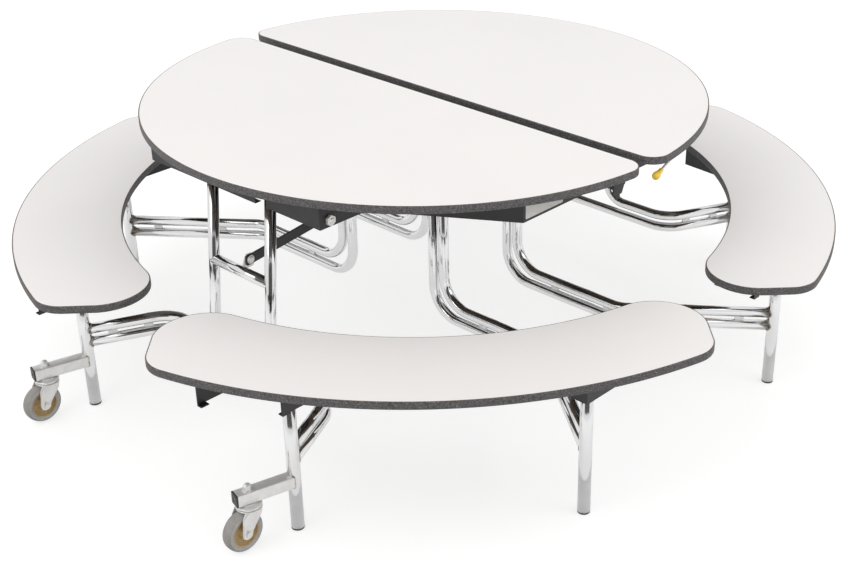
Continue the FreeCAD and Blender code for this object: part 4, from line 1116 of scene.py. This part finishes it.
def foot_profile():
    return ((10.5, 0.0), (13.6, 0.35), (15.2, 1.4), (LEG_RADIUS, 3.2), (LEG_RADIUS, 5.2),
            (LEG_RADIUS - 0.4, LEG_LOW), (LEG_RADIUS - LEG_WALL, LEG_LOW),
            (LEG_RADIUS - LEG_WALL, FOOT_PLUG_TOP))


def foot_form(x, y):
    return Form().lathe(foot_profile(), Matrix.Translation((x, y, 0.0)))


def joined(forms):
    whole = Form()
    for form in forms:
        data = bpy.data.meshes.new("part")
        form.mesh.to_mesh(data)
        form.mesh.free()
        whole.add(data)
    return whole


def swivel_place(leg_x):
    return arm_place(leg_x) @ Matrix.Translation((0.0, -SWIVEL_REACH, 0.0)) @ Matrix.Rotation(
        math.radians(ARM_ANGLE), 4, "Z")


def pin_parts(x, y, half, radius=5.0):
    """The shank and the two heads of a pin along X at the height of the bench pivots."""
    reach = half + 0.3
    shank = Form().lathe(((radius, x - reach), (radius, x + reach)),
                         facing((1.0, 0.0, 0.0), (0.0, y, BENCH_PIN_Z)), 24)
    ends = []
    for way in (1.0, -1.0):
        ends.append(((x + way * reach, y, BENCH_PIN_Z), (way, 0.0, 0.0), *PIN_HEX))
        shank.lathe(((radius - 0.1, 5.0), (radius - 0.3, 8.0), (radius - 1.2, 8.8)),
                    facing((way, 0.0, 0.0), (x + way * reach, y, BENCH_PIN_Z)), 24)
    return shank, ends


def kingpin_form(leg_x):
    """The domed nut of a swivel bolt on its washer, above the arm."""
    high = ARM_Z + ARM_HALF
    place = swivel_place(leg_x)
    form = Form().lathe(((13.5, high), (13.5, high + 1.3), (13.1, high + 1.6), (6.0, high + 1.6)),
                        place)
    form.lathe(((9.6, high + 7.0), (9.4, high + 9.0), (8.6, high + 12.2), (6.6, high + 14.8),
                (3.6, high + 16.3), (0.8, high + 16.9)), place)
    return form.lathe(((6.0, FORK_LOW - 0.3), (6.0, high)), place, 24)


def brace_bolt_form():
    at = (BRACE_OUTSIDE, BRACE_BOLT_Y, BRACE_BOLT_Z)
    place = facing((1.0, 0.0, 0.0), at)
    form = Form().lathe(((11.2, -1.2), (11.2, 0.2), (10.9, 0.5), (9.6, 0.6), (9.3, 2.2), (8.2, 4.1),
                         (6.0, 5.4), (3.0, 5.9), (0.6, 6.0)), place)
    return form.lathe(((4.0, -LUG_THICK - BRACE_OUTSIDE - 6.0), (4.0, 0.5)), place, 24)


def make_arms_and_feet():
    for side, place in FRAME_PLACES.items():
        body = side + "_frame"
        arms = joined([arm_form().placed(arm_place(x)) for x in OUTER_LEGS])
        piece(side + "_arm_tubes", arms, body, ("zinc_plate",),
              (side + "_caster_arms",), place)
        caps = joined([plug_form().placed(arm_place(x)) for x in OUTER_LEGS]
                      + [foot_form(x, -LEG_FAR) for x in OUTER_LEGS])
        piece(side + "_plugs_and_feet", caps, body, ("black_plastic",),
              (side + "_end_caps",), place)
    feet = foot_form(LEG_FAR, -LEG_SIDE).copied(CORNERS)
    piece("middle_feet", feet, "middle_frame", ("black_plastic",),
          ("middle_glides",))


def shaft_parts(half, y):
    """A hinge shaft with a nut and a domed end on both sides."""
    shaft = Form().lathe(((SHAFT_RADIUS, -half), (SHAFT_RADIUS, half)),
                         facing((1.0, 0.0, 0.0), (0.0, y, FOLD_Z)), 28)
    ends = []
    for way in (1.0, -1.0):
        shaft.lathe(((7.6, 6.0), (7.4, 9.2), (6.4, 11.2), (3.6, 12.0), (0.6, 12.1)),
                    facing((way, 0.0, 0.0), (way * half, y, FOLD_Z)), 28)
        ends.append(((way * half, y, FOLD_Z), (way, 0.0, 0.0), *SHAFT_HEX))
    return shaft, ends


def make_bolts():
    for side, place in FRAME_PLACES.items():
        forms = [kingpin_form(x) for x in OUTER_LEGS] + [brace_bolt_form()]
        forms += [rivet_form().placed(arm_place(x)) for x in OUTER_LEGS]
        heads = [((-LUG_THICK, BRACE_BOLT_Y, BRACE_BOLT_Z), (-1.0, 0.0, 0.0), *BRACE_NUT)]
        for x in OUTER_LEGS:
            at = swivel_place(x) @ Vector((0.0, 0.0, ARM_Z + ARM_HALF + 1.5))
            heads.append((at, (0.0, 0.0, 1.0), *KINGPIN_NUT))
            under = swivel_place(x) @ Vector((0.0, 0.0, FORK_LOW - 0.3))
            heads.append((under, (0.0, 0.0, -1.0), *KINGPIN_HEAD))
        for x in (LEG_SIDE, -LEG_SIDE):
            shank, ends = pin_parts(x, -LEG_FAR, OUTER_CHANNEL_HALF)
            forms.append(shank)
            heads += ends
        form = joined(forms).add(bolt_heads(heads))
        piece(side + "_bolts", form, side + "_frame", ("zinc_plate",),
              (side + "_pins_and_bolts",), place)
    shank, ends = pin_parts(LEG_FAR, -LEG_SIDE, MIDDLE_CHANNEL_HALF)
    pins = shank.add(bolt_heads(ends)).copied(CORNERS)
    piece("middle_pins", pins, "middle_frame", ("zinc_plate",), ("middle_bench_pins",))
    for side, place in TABLE_PLACES.items():
        outer, outer_ends = shaft_parts(HINGE_HALF, NEAR_FOLD_Y)
        inner, inner_ends = shaft_parts(PIVOT_HALF, MIDDLE_FOLD_Y)
        form = joined([outer, inner]).add(bolt_heads(outer_ends + inner_ends))
        piece(side + "_shafts", form, side + "_table", ("zinc_plate",),
              (side + "_hinge_shafts",), place)


# ---------------------------------------------------------------- casters

def cheek_outline():
    """The side of a fork cheek in Y and Z, round about the axle."""
    outline = [(24.0, 110.0), (-26.0, 110.0), (-35.0, 96.0)]
    outline += arc((WHEEL_TRAIL, AXLE_Z), 15.0, 180.0, 340.0, 12)
    return outline + [(WHEEL_TRAIL + 15.0, AXLE_Z + 2.0), (19.0, 90.0)]


def fork_form():
    """A swivel fork: race cups, crown plate and two ribbed cheeks."""
    form = Form().lathe(((24.0, FORK_LOW), (29.4, FORK_LOW), (30.8, FORK_LOW + 0.9),
                         (31.0, FORK_LOW + 2.4), (30.0, FORK_LOW + 3.6), (26.6, FORK_LOW + 4.4),
                         (26.0, FORK_LOW + 5.6)), AS_DRAWN)
    form.lathe(((26.8, FORK_LOW + 6.6), (30.4, FORK_LOW + 6.2), (31.0, FORK_LOW + 7.2),
                (30.9, FORK_LOW + 9.6), (29.6, FORK_LOW + 11.2), (21.0, FORK_LOW + 11.8),
                (18.6, FORK_LOW + 13.2), (18.4, FORK_HIGH)), AS_DRAWN)
    for way in (1.0, -1.0):
        outline = [(way * CHEEK_INNER, y, z) for y, z in cheek_outline()]
        form.prism(outline, (way * (CHEEK_OUTER - CHEEK_INNER), 0.0, 0.0), 0.5)
        raised = [(way * (CHEEK_OUTER - 0.2), y, z) for y, z in CHEEK_RIB]
        form.prism(raised, (way * RIB_RISE, 0.0, 0.0), 0.7)
    return form


def race_form():
    """The dark ball race between the two cups."""
    return Form().lathe(((24.5, FORK_LOW + 4.6), (25.4, FORK_LOW + 5.0), (25.4, FORK_LOW + 6.6),
                         (24.5, FORK_LOW + 6.9)), AS_DRAWN)


def axle_form():
    at = (0.0, WHEEL_TRAIL, AXLE_Z)
    form = Form().lathe(((4.0, -CHEEK_OUTER), (4.0, CHEEK_OUTER)), facing((1.0, 0.0, 0.0), at), 24)
    for way in (1.0, -1.0):
        end = (way * CHEEK_OUTER, WHEEL_TRAIL, AXLE_Z)
        form.lathe(((8.6, -0.2), (8.6, 0.9), (8.2, 1.2), (4.2, 1.2)),
                   facing((way, 0.0, 0.0), end), 28)
        form.lathe(((3.6, 4.0), (3.4, 6.6), (2.6, 7.2)), facing((way, 0.0, 0.0), end), 24)
    heads = [((way * (CHEEK_OUTER + 1.0), WHEEL_TRAIL, AXLE_Z), (way, 0.0, 0.0), *AXLE_NUT)
             for way in (1.0, -1.0)]
    return form.add(bolt_heads(heads))


TYRE_PROFILE = ((36.0, 13.5), (37.2, 14.6), (39.0, 15.7), (41.5, WHEEL_HALF), (43.6, 15.9),
                (45.6, 15.1), (47.4, 13.4), (48.9, 10.8), (50.0, 7.4), (50.6, 3.8),
                (WHEEL_RADIUS, 0.0))
HUB_PROFILE = ((36.0, 13.3), (35.2, 13.5), (33.4, 13.5), (32.6, 12.6), (32.0, 8.4), (31.0, 7.4),
               (28.4, 7.2), (27.6, 5.4), (26.6, 4.6), (17.0, 4.6), (15.8, 5.6), (15.0, 12.0),
               (14.0, 13.2), (12.4, 15.2), (11.4, WHEEL_HALF), (4.3, WHEEL_HALF))


def wheel_ring(profile, form, materials):
    """Turns a half profile and its mirror image about the axle."""
    whole = [(radius, width) for radius, width in profile]
    whole += [(radius, -width) for radius, width in profile[::-1] if abs(width) > 0.01]
    place = facing((1.0, 0.0, 0.0), (0.0, WHEEL_TRAIL, AXLE_Z))
    form.lathe(whole, place, 72, ring_closed=True, materials=materials)
    return form


def wheel_form():
    """Tyre and hub; the tread is the part of the tyre that is further out than TREAD_FROM."""
    bands = len(TYRE_PROFILE) - 1
    half = [1 if TYRE_PROFILE[index][0] > TREAD_FROM else 0 for index in range(bands)]
    form = wheel_ring(TYRE_PROFILE, Form(), half + half[::-1] + [0])
    return wheel_ring(HUB_PROFILE, form, [2] * (2 * len(HUB_PROFILE)))


def make_casters():
    for side, benches in (("near", ("front", "left")), ("far", ("right", "back"))):
        for bench, leg_x in zip(benches, OUTER_LEGS):
            place = FRAME_PLACES[side] @ swivel_place(leg_x)
            fork = joined([fork_form(), axle_form()])
            piece(bench + "_swivel_fork", fork, bench + "_caster_fork", ("zinc_plate",),
                  (bench + "_caster_fork",), place)
            piece(bench + "_ball_race", race_form(), bench + "_caster_fork",
                  ("black_plastic",), (), place)
            piece(bench + "_tyre_and_hub", wheel_form(), bench + "_caster_wheel",
                  ("tyre_wall", "tyre_tread", "wheel_hub"), (bench + "_caster_wheel",), place)


# ---------------------------------------------------------------- release rod

def knob_form():
    """The bent pear-shaped knob over the end of the rod."""
    corner, tip = Vector(ROD_PATH[1]), Vector(ROD_PATH[2])
    ahead = (tip - corner).normalized()
    start = tip - ahead * (0.3 * KNOB_LENGTH)
    profile = ((5.2, 0.0), (5.7, 0.6), (5.9, 3.0), (6.1, 9.0), (6.8, 15.0), (8.2, 20.0),
               (9.5, 24.0), (KNOB_RADIUS, 28.0), (9.8, 31.5), (8.9, 35.0), (7.0, 38.0),
               (4.0, 39.6), (0.8, KNOB_LENGTH))
    return Form().lathe(profile, facing(ahead, start), 32)


def make_release():
    path = [(ROD_PATH[0], 0.0), (ROD_PATH[1], ROD_BEND), (ROD_PATH[2], 0.0)]
    rod = Form().add(tubes([path], ROD_RADIUS, "zinc_plate"))
    for at, way in ((ROD_PATH[0], (-1.0, 0.0, 0.0)), (ROD_PATH[2], (0.0, -1.0, 0.0))):
        rod.lathe(((ROD_RADIUS, -0.4), (ROD_RADIUS - 0.6, 0.4)), facing(way, at),
                  sizes().tube_sides)
    piece("release_bar", rod, "release", ("zinc_plate",), ("release_rod",))
    piece("release_grip", knob_form(), "release", ("yellow_vinyl",),
          ("release_knob",))


def make_bare_plate():
    """The bare pale plate on the outer face of the near side rail."""
    outline = rounded_square(1.0, 0.08, 5)
    (middle_y, half_y), (middle_z, half_z) = PLATE_Y, PLATE_Z
    ring = [(PLATE_FACE_X, middle_y + half_y * a, middle_z + half_z * b) for a, b in outline]
    form = Form().prism(ring, (PLATE_THICK, 0.0, 0.0), 0.25)
    piece("bare_plate", form, "near_table", ("bare_plate",))


# ---------------------------------------------------------------- studio

def camera_rays(tree):
    """1 for camera, glossy and transmission rays."""
    rays = tree.nodes.new("ShaderNodeLightPath")
    total = None
    for name in ("Is Camera Ray", "Is Glossy Ray", "Is Transmission Ray"):
        if total is None:
            total = rays.outputs[name]
            continue
        step = tree.nodes.new("ShaderNodeMath")
        step.operation = "MAXIMUM"
        tree.links.new(total, step.inputs[0])
        tree.links.new(rays.outputs[name], step.inputs[1])
        total = step.outputs[0]
    return total


def make_world():
    world = bpy.data.worlds.new("studio")
    world.use_nodes = True
    tree = world.node_tree
    tree.nodes.clear()
    seen = tree.nodes.new("ShaderNodeBackground")
    seen.inputs["Color"].default_value = (1.0, 1.0, 1.0, 1.0)
    seen.inputs["Strength"].default_value = 1.0
    light = tree.nodes.new("ShaderNodeBackground")
    light.inputs["Color"].default_value = WORLD_COLOUR
    light.inputs["Strength"].default_value = WORLD_STRENGTH
    mix = tree.nodes.new("ShaderNodeMixShader")
    tree.links.new(camera_rays(tree), mix.inputs["Fac"])
    tree.links.new(light.outputs[0], mix.inputs[1])
    tree.links.new(seen.outputs[0], mix.inputs[2])
    output = tree.nodes.new("ShaderNodeOutputWorld")
    tree.links.new(mix.outputs[0], output.inputs["Surface"])
    bpy.context.scene.world = world


def make_floor():
    """A plain pale floor that keeps the table's shadow."""
    data = bpy.data.meshes.new("studio_floor")
    signs = ((-1.0, -1.0), (1.0, -1.0), (1.0, 1.0), (-1.0, 1.0))
    data.from_pydata([(x * FLOOR_REACH, y * FLOOR_REACH, 0.0) for x, y in signs], [],
                     [(0, 1, 2, 3)])
    material = bpy.data.materials.new("studio_floor")
    material.use_nodes = True
    tree = material.node_tree
    tree.nodes.clear()
    matt = tree.nodes.new("ShaderNodeBsdfDiffuse")
    matt.inputs["Color"].default_value = (*colours().floor, 1.0)
    glow = tree.nodes.new("ShaderNodeEmission")
    lift = tree.nodes.new("ShaderNodeMath")
    lift.operation = "MULTIPLY"
    lift.inputs[1].default_value = FLOOR_LIFT
    tree.links.new(camera_rays(tree), lift.inputs[0])
    tree.links.new(lift.outputs[0], glow.inputs["Strength"])
    both = tree.nodes.new("ShaderNodeAddShader")
    tree.links.new(matt.outputs[0], both.inputs[0])
    tree.links.new(glow.outputs[0], both.inputs[1])
    output = tree.nodes.new("ShaderNodeOutputMaterial")
    tree.links.new(both.outputs[0], output.inputs["Surface"])
    data.materials.append(material)
    floor = bpy.data.objects.new("studio_floor", data)
    bpy.context.scene.collection.objects.link(floor)


def make_lamp(name, place, target, size, power):
    data = bpy.data.lights.new(name, "AREA")
    data.shape = "RECTANGLE"
    data.size, data.size_y = size
    data.energy = power
    lamp = bpy.data.objects.new(name, data)
    ahead = Vector(target) - Vector(place)
    turn = ahead.to_track_quat("-Z", "Y").to_matrix().to_4x4()
    lamp.matrix_world = Matrix.Translation(place) @ turn
    bpy.context.scene.collection.objects.link(lamp)


def make_card(name, corners):
    """A dark studio card that shows only in the shine of the metal."""
    data = bpy.data.meshes.new(name)
    data.from_pydata(corners, [], [(0, 1, 2, 3)])
    data.materials.append(reflection_glow_card())
    card = bpy.data.objects.new(name, data)
    card.visible_camera = False
    card.visible_diffuse = False
    card.visible_transmission = False
    card.visible_shadow = False
    bpy.context.scene.collection.objects.link(card)


def reflection_glow_card():
    """The plain dark finish of the studio cards."""
    if "reflection_glow_card" in bpy.data.materials:
        return bpy.data.materials["reflection_glow_card"]
    material = bpy.data.materials.new("reflection_glow_card")
    material.use_nodes = True
    tree = material.node_tree
    tree.nodes.clear()
    glow = tree.nodes.new("ShaderNodeEmission")
    # A dim grey glow, not a lit surface: the painted dark reflection
    glow.inputs["Color"].default_value = CARD_REFLECTION_GLOW
    output = tree.nodes.new("ShaderNodeOutputMaterial")
    tree.links.new(glow.outputs[0], output.inputs["Surface"])
    return material


def make_camera():
    yaw, pitch, roll = CAMERA_YAW, CAMERA_PITCH, CAMERA_ROLL
    ahead = Vector((math.sin(yaw) * math.cos(pitch), math.cos(yaw) * math.cos(pitch),
                    -math.sin(pitch)))
    right = Vector((math.cos(yaw), -math.sin(yaw), 0.0))
    up = right.cross(ahead)
    across = math.cos(roll) * right + math.sin(roll) * up
    above = math.cos(roll) * up - math.sin(roll) * right
    data = bpy.data.cameras.new("camera")
    data.sensor_width = 36.0
    data.lens = FOCAL_PIXELS * data.sensor_width / IMAGE_WIDTH
    data.shift_x = -(OPTICAL_CENTRE[0] - IMAGE_MIDDLE[0]) / IMAGE_WIDTH
    data.shift_y = (OPTICAL_CENTRE[1] - IMAGE_MIDDLE[1]) / IMAGE_WIDTH
    camera = bpy.data.objects.new("camera", data)
    turn = Matrix((across, above, -ahead)).transposed().to_4x4()
    camera.matrix_world = Matrix.Translation(CAMERA_PLACE) @ turn
    bpy.context.scene.collection.objects.link(camera)
    bpy.context.scene.camera = camera


def make_stage():
    bpy.context.scene.view_settings.view_transform = "Standard"
    make_world()
    make_floor()
    make_lamp("key_lamp", (-2.6, -2.4, 3.6), LAMP_TARGET, (2.4, 2.4), KEY_POWER)
    make_lamp("fill_lamp", (3.0, -1.6, 2.8), LAMP_TARGET, (2.0, 2.0), FILL_POWER)
    # Cards that glow a dim grey and show only in reflections paint dark reflections on the metal
    make_card("ceiling_card", CEILING_CARD)
    make_card("front_card", FRONT_CARD)
    make_camera()


# ---------------------------------------------------------------- operators and panel

def operator(name, label, note, action):
    """An operator that runs one maker of this file."""
    def execute(self, context):
        finishes()
        action()
        return {"FINISHED"}
    return type("TABLE_OT_" + name, (bpy.types.Operator,), {
        "bl_idname": "table." + name, "bl_label": label, "__doc__": note, "execute": execute})


OPERATORS = [
    operator("boards", "Boards", "Makes the round top, the seats and their edging", make_boards),
    operator("tubes", "Tubes", "Makes the bent rails, posts and legs", make_tubes),
    operator("welds", "Welds", "Makes the weld beads on the legs", make_welds),
    operator("sheet_metal", "Sheet metal", "Rounds the folded channels and brackets",
             make_sheet_metal),
    operator("arms_and_feet", "Arms and feet", "Makes the caster arms, plugs and feet",
             make_arms_and_feet),
    operator("bolts", "Bolts", "Makes the hinge shafts, pins and nuts", make_bolts),
    operator("casters", "Casters", "Makes the swivel forks and wheels", make_casters),
    operator("release", "Release rod", "Makes the release rod and its knob", make_release),
    operator("bare_plate", "Bare plate", "Makes the bare plate on the side rail", make_bare_plate),
    operator("stage", "Stage", "Makes the floor, lamps, world and camera", make_stage),
]


class TABLE_PT_dressing(bpy.types.Panel):
    """Lists the makers of the table"""
    bl_label = "Folding table"
    bl_idname = "TABLE_PT_dressing"
    bl_space_type = "VIEW_3D"
    bl_region_type = "UI"
    bl_category = "Table"

    def draw(self, context):
        for maker in OPERATORS:
            self.layout.operator(maker.bl_idname)
        for group in (context.scene.table_sizes, context.scene.table_colours):
            for name in group.__annotations__:
                self.layout.prop(group, name)


CLASSES = [TableSizes, TableColours, *OPERATORS, TABLE_PT_dressing]


def register():
    for item in CLASSES:
        bpy.utils.register_class(item)
    bpy.types.Scene.table_sizes = PointerProperty(type=TableSizes)
    bpy.types.Scene.table_colours = PointerProperty(type=TableColours)


def unregister():
    del bpy.types.Scene.table_colours
    del bpy.types.Scene.table_sizes
    for item in reversed(CLASSES):
        bpy.utils.unregister_class(item)


def main():
    register()
    for maker in OPERATORS:
        getattr(bpy.ops.table, maker.bl_idname.split(".")[1])()


if __name__ == "__main__":
    main()
